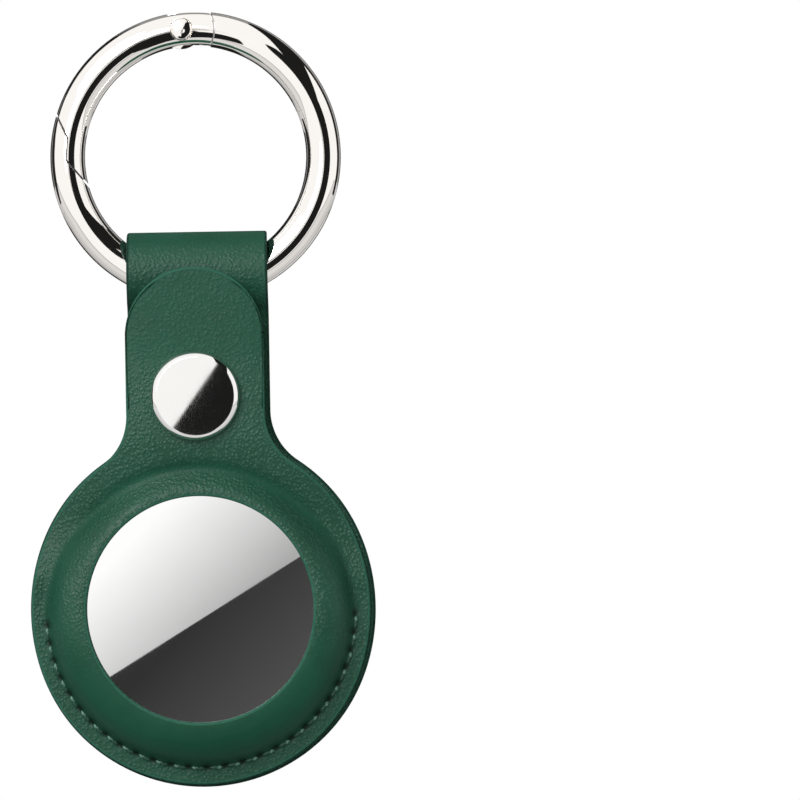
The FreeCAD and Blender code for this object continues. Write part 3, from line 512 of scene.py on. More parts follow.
PIN_UNDER = ((PIN_HEAD_R, PIN_SEAT + 0.08), (PIN_R, PIN_SEAT + 0.06), (PIN_R, 0.8))
PIN_SIDES = 64
SLOT_HEIGHT_SHARE = 0.999
TAIL_STEPS = 40
OUTLINE_STEPS = 48
METAL_EDGE = 0.07
BEVEL_ANGLE = math.radians(35)
SHARP_ANGLE = math.radians(40)
ON_WIRE = 0.01
ALONG_WIRE = 0.9


def circle_points(radius, angles):
    """Points round the origin at angles in radians."""
    return np.stack([radius * np.cos(angles), radius * np.sin(angles)], axis=-1)


def spot(radius, degrees, centre=(0.0, 0.0)):
    """A point round a centre at an angle in degrees."""
    angle = math.radians(degrees)
    return np.array((centre[0] + radius * math.cos(angle), centre[1] + radius * math.sin(angle)))


PIVOT = spot(RING_R, PIVOT_ANGLE)


def lap_line(shift, reach):
    """The stepped joint between the gate and the ring, from the outside to the inside."""
    out = spot(1, LATCH_ANGLE)
    onward = np.array((-out[1], out[0]))
    latch = RING_R * out + shift * (out + onward)
    heel = latch - LAP_LENGTH / 2 * onward
    nose = latch + LAP_LENGTH / 2 * onward
    outer = math.radians(LAP_OUTER_SLOPE)
    inner = math.radians(LAP_INNER_SLOPE)
    heel_way = math.cos(outer) * onward - math.sin(outer) * out
    nose_way = math.cos(inner) * onward - math.sin(inner) * out
    return [heel - reach * heel_way, heel, nose, nose + reach * nose_way]


def gate_outline(tail_r, shift):
    """The stretch of the ring that swings, seen from the front."""
    tail = list(PIVOT + circle_points(tail_r, np.linspace(*TAIL_ENDS, TAIL_STEPS)))
    middle = (PIVOT_ANGLE + LATCH_ANGLE) / 2
    outside = [spot(OUTSIDE, PIVOT_ANGLE), spot(OUTSIDE, middle)]
    inside = [spot(INSIDE, middle), spot(INSIDE, PIVOT_ANGLE)]
    return tail + outside + lap_line(shift, WIRE_R + LAP_LENGTH) + inside


def hinge_outline(eye_r, half_height, length):
    """A round eye about the pivot with a straight shank towards the fixed part of the ring."""
    start = math.degrees(math.asin(half_height / eye_r))
    eye = [spot(eye_r, HINGE_TURN + angle, PIVOT) for angle in np.linspace(start, 360 - start, OUTLINE_STEPS)]
    along = spot(1, HINGE_TURN)
    up = np.array((-along[1], along[0]))
    return eye + [PIVOT + length * along - half_height * up, PIVOT + length * along + half_height * up]


def disc_outline(radius):
    return PIVOT + circle_points(radius, full_turn(OUTLINE_STEPS))


def prism(outline, near, far):
    """A solid with that outline, seen from the front, between two depths."""
    count = len(outline)
    points = [(across, depth, up) for depth in (near, far) for across, up in outline]
    faces = [list(range(count)), list(range(2 * count - 1, count - 1, -1))]
    faces += [[step, count + step, count + (step + 1) % count, (step + 1) % count] for step in range(count)]
    return new_piece("cutter", points, faces)


def wire_ring(name):
    """The whole ring of round wire."""
    along = full_turn(RING_STEPS)[:, None]
    around = full_turn(WIRE_STEPS)[None]
    away = RING_R + WIRE_R * np.cos(around)
    depth = WIRE_R * np.sin(around) + 0 * along
    points = np.stack([away * np.cos(along), depth, away * np.sin(along)], axis=-1)
    index = numbers(points)
    index = np.concatenate([index, index[:1]])
    return new_piece(name, points.reshape(-1, 3), quads(index, closed=True), "chrome")


def carve(piece, cutter, operation="DIFFERENCE"):
    """Cuts one solid with another, which is used up."""
    step = piece.modifiers.new("carve", "BOOLEAN")
    step.operation = operation
    step.solver = "EXACT"
    step.object = cutter
    apply_modifiers(piece)
    bpy.data.objects.remove(cutter)


def finish_metal(piece):
    """Breaks the sharp edges and shades the round wire as exactly round."""
    bevel = piece.modifiers.new("edges", "BEVEL")
    bevel.width = METAL_EDGE * MM
    bevel.segments = 2
    bevel.limit_method = "ANGLE"
    bevel.angle_limit = BEVEL_ANGLE
    apply_modifiers(piece)
    mesh = piece.data
    mesh.set_sharp_from_angle(angle=SHARP_ANGLE)
    place = read(mesh.vertices, "co") / MM
    normal = read(mesh.corner_normals, "vector")
    away = np.hypot(place[:, 0], place[:, 2])
    out = place - place * np.array((1, 0, 1)) * (RING_R / away)[:, None]
    reach = np.linalg.norm(out, axis=1)
    exact = out / reach[:, None]
    on_wire = np.abs(reach - WIRE_R) < ON_WIRE
    for face in mesh.polygons:
        members = list(face.vertices)
        if on_wire[members].all() and exact[members].mean(axis=0) @ np.array(face.normal) > ALONG_WIRE:
            normal[list(face.loop_indices)] = exact[members]
    mesh.normals_split_custom_set(normal.tolist())


def fixed_ring():
    """The ring without the gate's stretch, and the hinge tab that reaches into the gate."""
    ring = wire_ring("ring_fixed_part")
    carve(ring, prism(gate_outline(TAIL_R + TAIL_GAP, LATCH_GAP), -THROUGH, THROUGH))
    tab = []
    for point in hinge_outline(EYE_R, HINGE_HALF_HEIGHT, TAIL_R + TAIL_GAP + WIRE_R / 2):
        tab.append(point * min(1.0, CROWN_R / math.hypot(*point)))
    carve(ring, prism(tab, -HINGE_HALF_THICKNESS, HINGE_HALF_THICKNESS), "UNION")
    finish_metal(ring)
    fit(ring, "ring", "ring_body")


def swinging_gate():
    """The gate's stretch of the ring, slotted for the hinge tab and sunk for the pin's heads."""
    gate = wire_ring("ring_swinging_part")
    carve(gate, prism(gate_outline(TAIL_R, 0.0), -THROUGH, THROUGH), "INTERSECT")
    slot_r = EYE_R + HINGE_CLEARANCE
    half_slot = HINGE_HALF_THICKNESS + HINGE_CLEARANCE
    slot = hinge_outline(slot_r, slot_r * SLOT_HEIGHT_SHARE, TAIL_R + WIRE_R)
    carve(gate, prism(slot, -half_slot, half_slot))
    carve(gate, prism(disc_outline(PIN_R + PIN_CLEARANCE), -THROUGH, THROUGH))
    for near, far in ((-THROUGH, -PIN_SEAT), (PIN_SEAT, THROUGH)):
        carve(gate, prism(disc_outline(PIN_HEAD_R + PIN_CLEARANCE), near, far))
    finish_metal(gate)
    fit(gate, "gate", "ring_gate")


def turned(name, profile, centre, sides, finish):
    """A piece turned about an axis along Y, from (radius, y) points that start and end on the axis."""
    turn = full_turn(sides)
    radius, depth = np.array(profile[1:-1]).T[:, :, None]
    across = centre[0] + radius * np.cos(turn)
    rows = np.stack([across, depth + 0 * turn, centre[1] + radius * np.sin(turn)], axis=-1)
    index = numbers(rows)
    tip = index.size
    tips = [(centre[0], profile[end][1], centre[1]) for end in (0, -1)]
    points = np.concatenate([rows.reshape(-1, 3), tips])
    faces = quads(index, closed=True) + fan(tip, index[0])
    faces += [face[::-1] for face in fan(tip + 1, index[-1])]
    if profile[0][1] > profile[-1][1]:
        faces = [face[::-1] for face in faces]
    return new_piece(name, points, faces, finish)


def pivot_pin():
    """The riveted pin with its two domed heads."""
    head = [(radius, WIRE_R - drop) for radius, drop in PIN_DOME] + list(PIN_UNDER)
    profile = [(radius, -depth) for radius, depth in head] + head[::-1]
    pin = turned("pivot_rivet", profile, PIVOT, PIN_SIDES, "chrome")
    fit(pin, "ring", "gate_pivot_pin")


# Strips that paint the shade in the latch and hinge gaps
GAP_SHADE_REACH_OUT = 2.65
GAP_SHADE_REACH_IN = 2.9
GAP_SHADE_HALF_WIDTH = 0.07
GAP_SHADE_SINK = 0.04
GAP_SHADE_DEPTH = 0.25
GAP_SHADE_STEPS = 14
HINGE_SHADE_NEAR = 0.05
HINGE_SHADE_STEPS = 48


def within_wire(line):
    """The part of a line, seen from the front, that lies in the wire, and the depth of a strip of painted gap
    shade there.
    """
    over = np.hypot(*line.T) - RING_R
    kept = np.abs(over) < WIRE_R - 2 * GAP_SHADE_SINK
    return line[kept], np.sqrt(WIRE_R ** 2 - over[kept] ** 2) - GAP_SHADE_SINK


def strip(near, far, first, last):
    """The four corners at each step of a bar between two lines and two depths."""
    corners = ((near, first), (far, first), (far, last), (near, last))
    return np.stack([np.stack([line[:, 0], depth, line[:, 1]], axis=-1) for line, depth in corners], axis=1)


def latch_gap_shade():
    """Dark strips of painted shade in the gap at the latch, just under the front and the back of the wire."""
    start = lap_line(LATCH_GAP / 2, GAP_SHADE_REACH_OUT)[0]
    end = lap_line(LATCH_GAP / 2, GAP_SHADE_REACH_IN)[3]
    turns = [start] + lap_line(LATCH_GAP / 2, 0.0)[1:3] + [end]
    line = [turns[0]]
    for first, last in zip(turns[:-1], turns[1:]):
        line += [first + (last - first) * share for share in np.linspace(0, 1, GAP_SHADE_STEPS)[1:]]
    line, depth = within_wire(np.array(line))
    ahead = np.gradient(line, axis=0)
    ahead /= np.linalg.norm(ahead, axis=1)[:, None]
    aside = GAP_SHADE_HALF_WIDTH * np.stack([-ahead[:, 1], ahead[:, 0]], axis=-1)
    inner = depth - GAP_SHADE_DEPTH
    strips = [strip(line - aside, line + aside, side * depth, side * inner) for side in (-1, 1)]
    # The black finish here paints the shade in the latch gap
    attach(bars("latch_gap_shade", strips, "black_plastic"), "ring")


def hinge_gap_shade():
    """A grey steel strip on the end of the fixed ring that faces the gate's round tail, which paints the
    shade in the hinge gap.
    """
    angles = np.linspace(*TAIL_ENDS, HINGE_SHADE_STEPS)
    seat, depth = within_wire(PIVOT + circle_points(TAIL_R + TAIL_GAP, angles))
    face = PIVOT + (seat - PIVOT) * (TAIL_R + HINGE_SHADE_NEAR) / (TAIL_R + TAIL_GAP)
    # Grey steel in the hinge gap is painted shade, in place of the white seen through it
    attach(bars("hinge_gap_shade", [strip(face, seat, -depth, depth)], "spring_steel"), "ring")


fixed_ring()
swinging_gate()
pivot_pin()
latch_gap_shade()
hinge_gap_shade()


# Leather

SHEET_EDGE_BEVEL = 0.28
DIMPLE_DEPTH = 0.3
DIMPLE_R = 0.32
GROOVE_DEPTH = 0.06
GROOVE_WIDTH = 0.4
HOLE_R = 0.32
HOLE_STRETCH = 1.7

# Spans of height or of distance from the disc's centre over which one form goes over into another
CURL_SPAN = (3, 12)
RIDGE_END = (19, 21)
UPPER_HALF = (2, 13)
MARGIN_SPAN = (-14, 14)
MARGIN_OUT = (SEAM_R + 0.2, FRONT_DISC_R - 0.2)
NECK_SPAN = (20, 32)
LEAN_SPAN = (12, 24)
RISE_END = (WINDOW_R + 0.5, SEAM_R - 1)


def near_holes(across, up, holes, size):
    """How near each point is to a needle hole, from 0 to 1.

    Holes are (across, up, direction of their length)."""
    nearest = np.full(np.shape(across), np.inf)
    for hole_x, hole_z, turn in holes:
        along = (across - hole_x) * math.cos(turn) + (up - hole_z) * math.sin(turn)
        aside = (up - hole_z) * math.cos(turn) - (across - hole_x) * math.sin(turn)
        nearest = np.minimum(nearest, np.hypot(along / HOLE_STRETCH, aside))
    return np.exp(-(nearest / size) ** 2)


SEAM_HOLES = [(SEAM_R * math.cos(angle), SEAM_R * math.sin(angle), angle + math.pi / 2)
              for angle in SEAM_ANGLES]


def seam_pull(across, up):
    """Depth to which the seam draws the leather in."""
    out = np.hypot(across, up)
    groove = np.exp(-((out - SEAM_R) / GROOVE_WIDTH) ** 2) * smooth_step(-up, 0.0, 1.0)
    return GROOVE_DEPTH * groove + DIMPLE_DEPTH * near_holes(across, up, SEAM_HOLES, DIMPLE_R)


def rounded_rim(out, crest, bulge, base):
    """Height of a rounded edge at a distance from the centre, falling steeply past its side."""
    reach = bulge * math.sin(STEEPEST)
    past = np.clip(out - crest, 0, reach)
    over = np.maximum(out - crest - reach, 0)
    return base + np.sqrt(bulge * bulge - past * past) - over * math.tan(STEEPEST)


def front_height(across, up):
    """How far the front leather's grain side stands before the ring's plane."""
    out = np.hypot(across, up)
    rim = rounded_rim(out, CREST_R, BULGE_R, CREST_FRONT - BULGE_R)
    slope = (TONGUE_FRONT - MARGIN_FRONT) / (KNEE_RISE - BEND_RISE)
    bend = soft_max(up - BEND_RISE, 0.0, BEND_SOFTNESS)
    sheet = MARGIN_FRONT + slope * (bend - soft_max(up - KNEE_RISE, 0.0, BEND_SOFTNESS))
    sheet -= NECK_CURL * np.maximum(np.abs(across) - NECK_FLAT, 0) ** 2 * smooth_step(up, *CURL_SPAN)
    below = soft_max(rim, sheet, FOOT_SOFTNESS)
    ridge = (CREST_FRONT - sheet) * np.exp(-(np.maximum(out - CREST_R, 0) / RIDGE_WIDTH) ** 2)
    valley = VALLEY_DEPTH * np.exp(-((out - VALLEY_R) / VALLEY_WIDTH) ** 2)
    above = sheet + (ridge - valley) * (1 - smooth_step(out, *RIDGE_END))
    return below + (above - below) * smooth_step(up, *UPPER_HALF) - seam_pull(across, up)


def shoulder(disc_r, half_neck):
    """The centre of the right shoulder's hollow, and the direction in which it touches the disc."""
    away = disc_r + SHOULDER_R
    across = half_neck + SHOULDER_R
    centre = np.array((across, math.sqrt(away ** 2 - across ** 2)))
    return centre, math.atan2(centre[1], centre[0])


def neck_side(disc_r, half_neck, top):
    """Points up the right edge of the neck: the shoulder's hollow, then straight to the top."""
    centre, turn = shoulder(disc_r, half_neck)
    hollow = SHOULDER_R * (turn - CORNER_TURN)
    along = np.linspace(0, hollow + top - centre[1], NECK_ROWS)
    angle = math.pi + turn - CORNER_TURN - np.minimum(along, hollow) / SHOULDER_R
    side = centre + circle_points(SHOULDER_R, angle)
    side[:, 1] += np.maximum(along - hollow, 0)
    return side


def long_margin(across, up):
    """Heights on the disc moved so that its margin and shoulders get their slightly long outline."""
    rise = MARGIN_LIFT * smooth_step(up, *MARGIN_SPAN) - MARGIN_DROP
    outer = smooth_step(np.hypot(across, up), *MARGIN_OUT)
    return up + rise * outer * (1 - smooth_step(up, *NECK_SPAN))


NECK_COLUMNS = 40
DISC_COLUMNS = 520
NECK_ROWS = 56
MARGIN_ROWS = 6
EDGE_ROW = 0.42
FINE_ROW = 0.2
MARGIN_BAND = 0.9
WINDOW_BAND = 0.65
BACK_ROWS = np.linspace(1.0, 13.0, 25)
BACK_FINE_R = 13.3
FLARE_STEPS = 12
LOOP_STEPS = 76
FOLD_STEPS = 50

# Numbers of the finishes on a sheet
GRAIN, EDGE, SUEDE, LIP = range(4)


def disc_grid(disc_r, half_neck, inner_radii):
    """Rows of points from the inside of the disc to its edge, which follows the shoulders up to the neck.

    Columns run first across the neck from the right, then on round the bottom."""
    centre, turn = shoulder(disc_r, half_neck)
    corner = neck_side(disc_r, half_neck, centre[1])[0]
    corner_turn = math.atan2(corner[1], corner[0])
    neck = np.linspace(corner_turn, math.pi - corner_turn, NECK_COLUMNS + 1)
    rest = np.linspace(math.pi - corner_turn, 2 * math.pi + corner_turn, DISC_COLUMNS + 1)[1:-1]
    angles = np.concatenate([neck, rest])
    toward = np.abs(np.cos(angles)) * centre[0] + np.sin(angles) * centre[1]
    under = toward ** 2 - centre @ centre + SHOULDER_R ** 2
    edge = np.where(np.sin(angles) < math.sin(turn), disc_r, toward - np.sqrt(np.maximum(under, 0)))
    edge[:NECK_COLUMNS + 1] = math.hypot(*corner)
    start = inner_radii[-1]
    outer = [start + (edge - EDGE_ROW - start) * share for share in np.linspace(0, 1, MARGIN_ROWS)[1:]]
    return np.stack([circle_points(radius, angles) for radius in [*inner_radii, *outer, edge]])


def mirrored(side):
    return side * np.array((-1, 1))


def neck_grid(disc, disc_r, half_neck, top):
    """Rows of points from above the disc's edge to the neck's top edge, each from the right to the left."""
    bottom = disc[-1, :NECK_COLUMNS + 1]
    right = neck_side(disc_r, half_neck, top[0, 1])
    u = np.linspace(0, 1, NECK_COLUMNS + 1)[None, :, None]
    v = np.linspace(0, 1, NECK_ROWS)[:, None, None]
    across = (1 - v) * bottom + v * top
    upward = (1 - u) * right[:, None] + u * mirrored(right)[:, None]
    corners = (1 - u) * (1 - v) * bottom[0] + u * (1 - v) * bottom[-1]
    corners = corners + (1 - u) * v * top[0] + u * v * top[-1]
    return (across + upward - corners)[1:]


def mark(piece, name, marks):
    """Stores a number at each vertex for the piece's material."""
    attribute = piece.data.attributes.new(name, "FLOAT", "POINT")
    attribute.data.foreach_set("value", np.asarray(marks, np.float32))


# Shares to which the grain is kept or drawn smooth, and the spans over which they change
MARGIN_GRAIN = 0.6
VALLEY_DRAWN = 0.7
TONGUE_DRAWN = 0.6
POUCH_DRAWN = 0.6
STRAP_DRAWN = 0.25
LOOP_DRAWN = 0.9
BELOW_SPAN = (-3, 9)
MARGIN_GRAIN_SPAN = (17.2, 18.2)
VALLEY_START = (15.7, 16.4)
VALLEY_END = (16.9, 17.9)
ABOVE_SPAN = (-9, 3)
TONGUE_SPAN = (26, 31)
POUCH_END = (SEAM_R - 0.5, SEAM_R + 0.5)
LOOP_SPAN = (LOOP_Z + 1.9, LOOP_Z + 3.5)


def drawn_smooth(across, up):
    """How far moulding has drawn the grain smooth, from 0 to 1."""
    out = np.hypot(across, up)
    below = smooth_step(-up, *BELOW_SPAN) * (1 - MARGIN_GRAIN * smooth_step(out, *MARGIN_GRAIN_SPAN))
    valley = smooth_step(out, *VALLEY_START) * (1 - smooth_step(out, *VALLEY_END))
    above = VALLEY_DRAWN * valley * smooth_step(up, *ABOVE_SPAN)
    return np.maximum(np.maximum(below, above), TONGUE_DRAWN * smooth_step(up, *TONGUE_SPAN))


def thicken(piece, inner_finish, offset, edge_finish):
    """Gives a sheet its thickness, a painted rim and rounded edges."""
    solid = piece.modifiers.new("thickness", "SOLIDIFY")
    solid.thickness = LEATHER * MM
    solid.offset = -offset
    solid.use_even_offset = True
    solid.material_offset = inner_finish
    solid.material_offset_rim = EDGE
    apply_modifiers(piece)
    work = bmesh.new()
    work.from_mesh(piece.data)
    corners = [edge for edge in work.edges
               if sum(face.material_index == EDGE for face in edge.link_faces) == 1]
    bmesh.ops.bevel(work, geom=corners, offset=SHEET_EDGE_BEVEL * MM, segments=4, profile=0.5, affect="EDGES",
                    clamp_overlap=False, material=edge_finish)
    work.to_mesh(piece.data)
    work.free()
    settle(piece.data)


def front_leather():
    """The whole front in one sheet: the moulded rim round the window, its sewn margin and the tongue."""
    fine = np.arange(WINDOW_R + WINDOW_BAND, FRONT_DISC_R - MARGIN_BAND, FINE_ROW)
    disc = disc_grid(FRONT_DISC_R, HALF_TONGUE, [WINDOW_R, WINDOW_R + EDGE_ROW, *fine])
    tip = TONGUE_TIP_Z - DISC_Z - HALF_TONGUE
    round_tip = circle_points(HALF_TONGUE, np.linspace(0, math.pi, NECK_COLUMNS + 1)) + np.array((0, tip))
    neck = neck_grid(disc, FRONT_DISC_R, HALF_TONGUE, round_tip)
    flat = np.concatenate([disc.reshape(-1, 2), neck.reshape(-1, 2)])
    disc_index = numbers(disc)
    neck_index = np.concatenate([disc_index[-1:, :NECK_COLUMNS + 1], disc_index.size + numbers(neck)])
    across, up = flat.T
    up = long_margin(across, up)
    lean = FRONT_SHIFT + (TONGUE_LEAN - FRONT_SHIFT) * smooth_step(up, *LEAN_SPAN)
    rise = WINDOW_RISE * (1 - smooth_step(np.hypot(across, up), *RISE_END))
    points = np.stack([across + lean, -front_height(across, up), up + rise + DISC_Z], axis=-1)
    faces = [face[::-1] for face in quads(disc_index, closed=True) + quads(neck_index)]
    piece = new_piece("front_leather", points, faces, "leather", "edge", "suede", "lip")
    # Painted shade in the needle holes of the seam
    mark(piece, "hole", near_holes(across, up, SEAM_HOLES, HOLE_R))
    mark(piece, "drawn", drawn_smooth(across, up))
    # The front's rounded edges take the paler lip finish, a painted highlight
    thicken(piece, SUEDE, 1.0, LIP)
    return piece


def strap_line():
    """The strap's middle line from the flare up round the loop and down to the strap's end, as (y, z)."""
    lean = math.atan2(FLARE_DROP, FLARE_ACROSS)
    up = circle_points(FLARE_R, np.linspace(0, lean, FLARE_STEPS)) + np.array((-FLARE_ACROSS, FLARE_Z))
    around = np.linspace(math.pi + lean, -lean, LOOP_STEPS)[1:]
    loop = circle_points(LOOP_MIDDLE_R, around) + np.array((0, LOOP_Z))
    drop = np.linspace(FLARE_Z, STRAP_END_Z, FOLD_STEPS)[1:]
    fold = np.stack([np.full_like(drop, FOLD_MIDDLE_Y), drop], axis=-1)
    return np.concatenate([up, loop, mirrored(up[::-1][1:])]), fold


def back_height(across, up):
    """Where the middle of the back leather lies behind the ring's plane."""
    out = np.hypot(across, up)
    bulge = BULGE_R - LEATHER / 2
    rim = rounded_rim(out, CREST_R, bulge, BACK_BULGE_Y)
    dome_r = BACK_DOME_R - LEATHER / 2
    dome = BACK_TOP - LEATHER / 2 - dome_r + np.sqrt(dome_r * dome_r - out * out)
    top = np.where(out < CREST_R + bulge * math.sin(BACK_DOME_ANGLE), dome, rim)
    return soft_max(top, NECK_MIDDLE_Y, 2 * FOOT_SOFTNESS) - seam_pull(across, up)


def back_leather():
    """The back in one sheet: the domed pouch, the neck, the loop round the ring and the strap's end."""
    fine = np.arange(BACK_FINE_R, DISC_R - MARGIN_BAND, FINE_ROW)
    disc = disc_grid(DISC_R, HALF_STRAP, [*BACK_ROWS, *fine])
    width = np.linspace(1, -1, NECK_COLUMNS + 1)
    neck_top = np.stack([HALF_STRAP * width, np.full_like(width, FLARE_Z - DISC_Z)], axis=-1)
    neck = neck_grid(disc, DISC_R, HALF_STRAP, neck_top)
    flat = np.concatenate([[(0.0, 0.0)], disc.reshape(-1, 2), neck.reshape(-1, 2)])
    across, up = flat.T
    up = long_margin(across, up)
    sheet = np.stack([across, back_height(across, up), up + DISC_Z], axis=-1)
    loop, fold = strap_line()
    loop = loop[1:]
    narrowing = HALF_STRAP + (HALF_FOLD - HALF_STRAP) * np.linspace(0, 1, len(loop)) ** 2
    strap = np.stack(np.broadcast_arrays(narrowing[:, None] * width, loop[:, :1], loop[:, 1:]), axis=-1)
    side = np.abs(width) * HALF_FOLD - (HALF_FOLD - FOLD_CORNER_R)
    corner = FOLD_CORNER_R - np.sqrt(np.maximum(FOLD_CORNER_R ** 2 - np.maximum(side, 0) ** 2, 0))
    share = (fold[:, 1] - FLARE_Z) / (STRAP_END_Z - FLARE_Z)
    fold_z = FLARE_Z + share[:, None] * (STRAP_END_Z + corner[None] - FLARE_Z)
    fold_x = HALF_FOLD * width + 0 * fold_z
    stitch_holes = [(stitch_x, STRAP_STITCH_Z, 0.0) for stitch_x in STRAP_STITCH_X]
    pull = DIMPLE_DEPTH * near_holes(fold_x, fold_z, stitch_holes, DIMPLE_R)
    pull += GROOVE_DEPTH * np.exp(-((fold_z - STRAP_STITCH_Z) / GROOVE_WIDTH) ** 2)
    tail = np.stack([fold_x, FOLD_MIDDLE_Y - pull / 2, fold_z], axis=-1)
    points = np.concatenate([sheet, strap.reshape(-1, 3), tail.reshape(-1, 3)])
    disc_index = 1 + numbers(disc)
    strap_index = np.arange(1 + disc_index.size, len(points)).reshape(-1, len(width))
    strap_index = np.concatenate([disc_index[-1:, :NECK_COLUMNS + 1], strap_index])
    faces = fan(0, disc_index[0]) + quads(disc_index, closed=True) + quads(strap_index)
    piece = new_piece("back_leather", points, faces, "leather", "edge")
    # Painted shade in the needle holes of the seam and of the strap's stitches
    marks = np.concatenate([
        near_holes(across, up, SEAM_HOLES, HOLE_R), np.zeros(strap.shape[0] * strap.shape[1]),
        near_holes(fold_x, fold_z, stitch_holes, HOLE_R).ravel(),
    ])
    mark(piece, "hole", marks)
    pouch = POUCH_DRAWN * (1 - smooth_step(np.hypot(across, up), *POUCH_END))
    bend = LOOP_DRAWN * smooth_step(points[len(pouch):, 2], *LOOP_SPAN)
    mark(piece, "drawn", np.maximum(np.concatenate([pouch, bend]), STRAP_DRAWN))
    thicken(piece, GRAIN, 0.0, EDGE)
    return piece


front = front_leather()
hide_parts("front_panel_lower", "front_flap")
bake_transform(front)

fit(back_leather(), "case", "back_panel")


# Thread

THREAD_R = 0.21
THREAD_RISE = 0.03
THREAD_DIVE = 0.45
THREAD_SLANT = 0.07
THREAD_PLY_DEPTH = 0.2
THREAD_TWISTS = 1.4
STITCH_STEPS = 18
STITCH_SIDES = 12
STITCH_EASE = 0.35
STITCH_TRIM = 0.2
STITCH_R = SEAM_R + 0.1
HIGHLIGHT_AT = 0.24
HIGHLIGHT_LENGTH = 0.11


def stitch_rings(start, end, out):
    """Rings of points along one stitch of two-ply thread that dives into the leather at both ends."""
    share = np.linspace(0, 1, STITCH_STEPS)
    run = end - start
    sideways = np.cross(run / np.linalg.norm(run), out)
    arch = 1 - np.abs(2 * share - 1) ** 4
    rise = -THREAD_DIVE + (THREAD_DIVE + THREAD_RISE) * arch
    ease = 0.5 + 0.5 * np.sin(math.pi * (share - 0.5)) * STITCH_EASE + (share - 0.5) * (1 - STITCH_EASE)
    slant = THREAD_SLANT * (2 * share - 1)
    middle = start + ease[:, None] * run + rise[:, None] * out + slant[:, None] * sideways
    ahead = np.gradient(middle, axis=0)
    ahead /= np.linalg.norm(ahead, axis=1)[:, None]
    level = np.cross(ahead, sideways)
    turn = full_turn(STITCH_SIDES)
    ply = 1 + THREAD_PLY_DEPTH * np.cos(2 * (turn - 2 * math.pi * THREAD_TWISTS * share[:, None]))
    ring = np.cos(turn)[:, None] * sideways + np.sin(turn)[:, None] * level[:, None]
    return middle[:, None] + THREAD_R * ply[:, :, None] * ring


def thread_row(name, runs, node):
    """One row of stitches, from (start, end, outward direction) of each."""
    share = np.repeat(np.linspace(0, 1, STITCH_STEPS), STITCH_SIDES)
    stitches = []
    thread_highlight = []
    for start, end, out in np.array(runs, float):
        trim = STITCH_TRIM * (end - start)
        stitches.append(stitch_rings(start + trim, end - trim, out))
        # Painted highlight near the upper end of each stitch, where light from above falls on the thread
        upper_end = 1 - HIGHLIGHT_AT if end[2] > start[2] else HIGHLIGHT_AT
        thread_highlight.append(np.exp(-((share - upper_end) / HIGHLIGHT_LENGTH) ** 2))
    piece = bars(name, stitches, "thread")
    mark(piece, "thread_highlight", np.concatenate(thread_highlight))
    fit(piece, "case", node)


def stitch_runs(ends, levels, out):
    """The stitches between points in a row, at their levels on the side that faces out."""
    return [((start[0], level, start[1]), (end[0], level, end[1]), (0, out, 0))
            for start, end, level in zip(ends[:-1], ends[1:], out * levels)]


def seam_runs(height, out, shift):
    """The stitches round the disc on a side whose surface has that height and lies that far across."""
    middles = circle_points(STITCH_R, (SEAM_ANGLES[:-1] + SEAM_ANGLES[1:]) / 2)
    ends = circle_points(STITCH_R, SEAM_ANGLES) + np.array((shift, DISC_Z))
    return stitch_runs(ends, height(*middles.T), out)


def strap_runs(out):
    """The stitches across the strap on the side that faces out."""
    level = FOLD_MIDDLE_Y + LEATHER / 2 - GROOVE_DEPTH / 2
    ends = [(stitch_x, STRAP_STITCH_Z) for stitch_x in STRAP_STITCH_X]
    return stitch_runs(ends, np.full(STRAP_STITCHES, level), out)


def back_surface(across, up):
    return back_height(across, up) + LEATHER / 2


thread_row("seam_stitches_front", seam_runs(front_height, -1, FRONT_SHIFT), "seam_needle_thread")
thread_row("seam_stitches_back", seam_runs(back_surface, 1, 0.0), "seam_bobbin_thread")
thread_row("strap_stitches_back", strap_runs(1), "strap_needle_thread")
thread_row("strap_stitches_front", strap_runs(-1), "strap_bobbin_thread")


# Snap caps

CAP_R = 5.1
CAP_HEIGHT = 1.5
CAP_FLAT_R = 4.45
CAP_SIDE = 0.55
RIM_TURN = math.radians(24)
RIM_STEPS = 14
CAP_CROWN = 0.006
CAP_SIDES = 144
CAP_FOOT = [(0.0, 0.1), (2.0, 0.1), (4.3, 0.1), (CAP_R - 0.35, 0.0), (CAP_R - 0.15, 0.02),
            (CAP_R - 0.04, 0.1), (CAP_R, 0.3)]
CAP_RINGS = (CAP_FLAT_R - 0.02, CAP_FLAT_R - 0.1, 3.9, 3.0, 2.0, 1.0, 0.0)


def cap_profile():
    """Radius and height of a pressed cap from the middle of its foot to the middle of its top."""
    turn = np.linspace(0, RIM_TURN, RIM_STEPS)
    width = (CAP_R - CAP_FLAT_R) / (1 - math.cos(RIM_TURN))
    rise = (CAP_HEIGHT - CAP_CROWN - CAP_SIDE) / math.sin(RIM_TURN)
    rim = [(CAP_R - width * (1 - math.cos(angle)), CAP_SIDE + rise * math.sin(angle)) for angle in turn]
    crown = [(radius, CAP_HEIGHT - CAP_CROWN * (radius / CAP_FLAT_R) ** 2) for radius in CAP_RINGS]
    return CAP_FOOT + rim + crown


def snap_cap(name, base_y, out, lean, node, body):
    """A cap turned about the snap's axis, standing out from base_y."""
    profile = [(radius, base_y + out * height) for radius, height in cap_profile()]
    piece = turned(name, profile, (lean, SNAP_Z), CAP_SIDES, "nickel")
    fit(piece, body, node)


snap_cap("snap_cap_front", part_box("snap_front_cap")[1].y / MM, -1, TONGUE_LEAN, "snap_front_cap", "flap")
snap_cap("snap_cap_back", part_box("snap_back_cap")[0].y / MM, 1, 0.0, "snap_back_cap", "case")


# Studio

AMBIENT_BELOW = 0.38
AMBIENT_ABOVE = 0.45


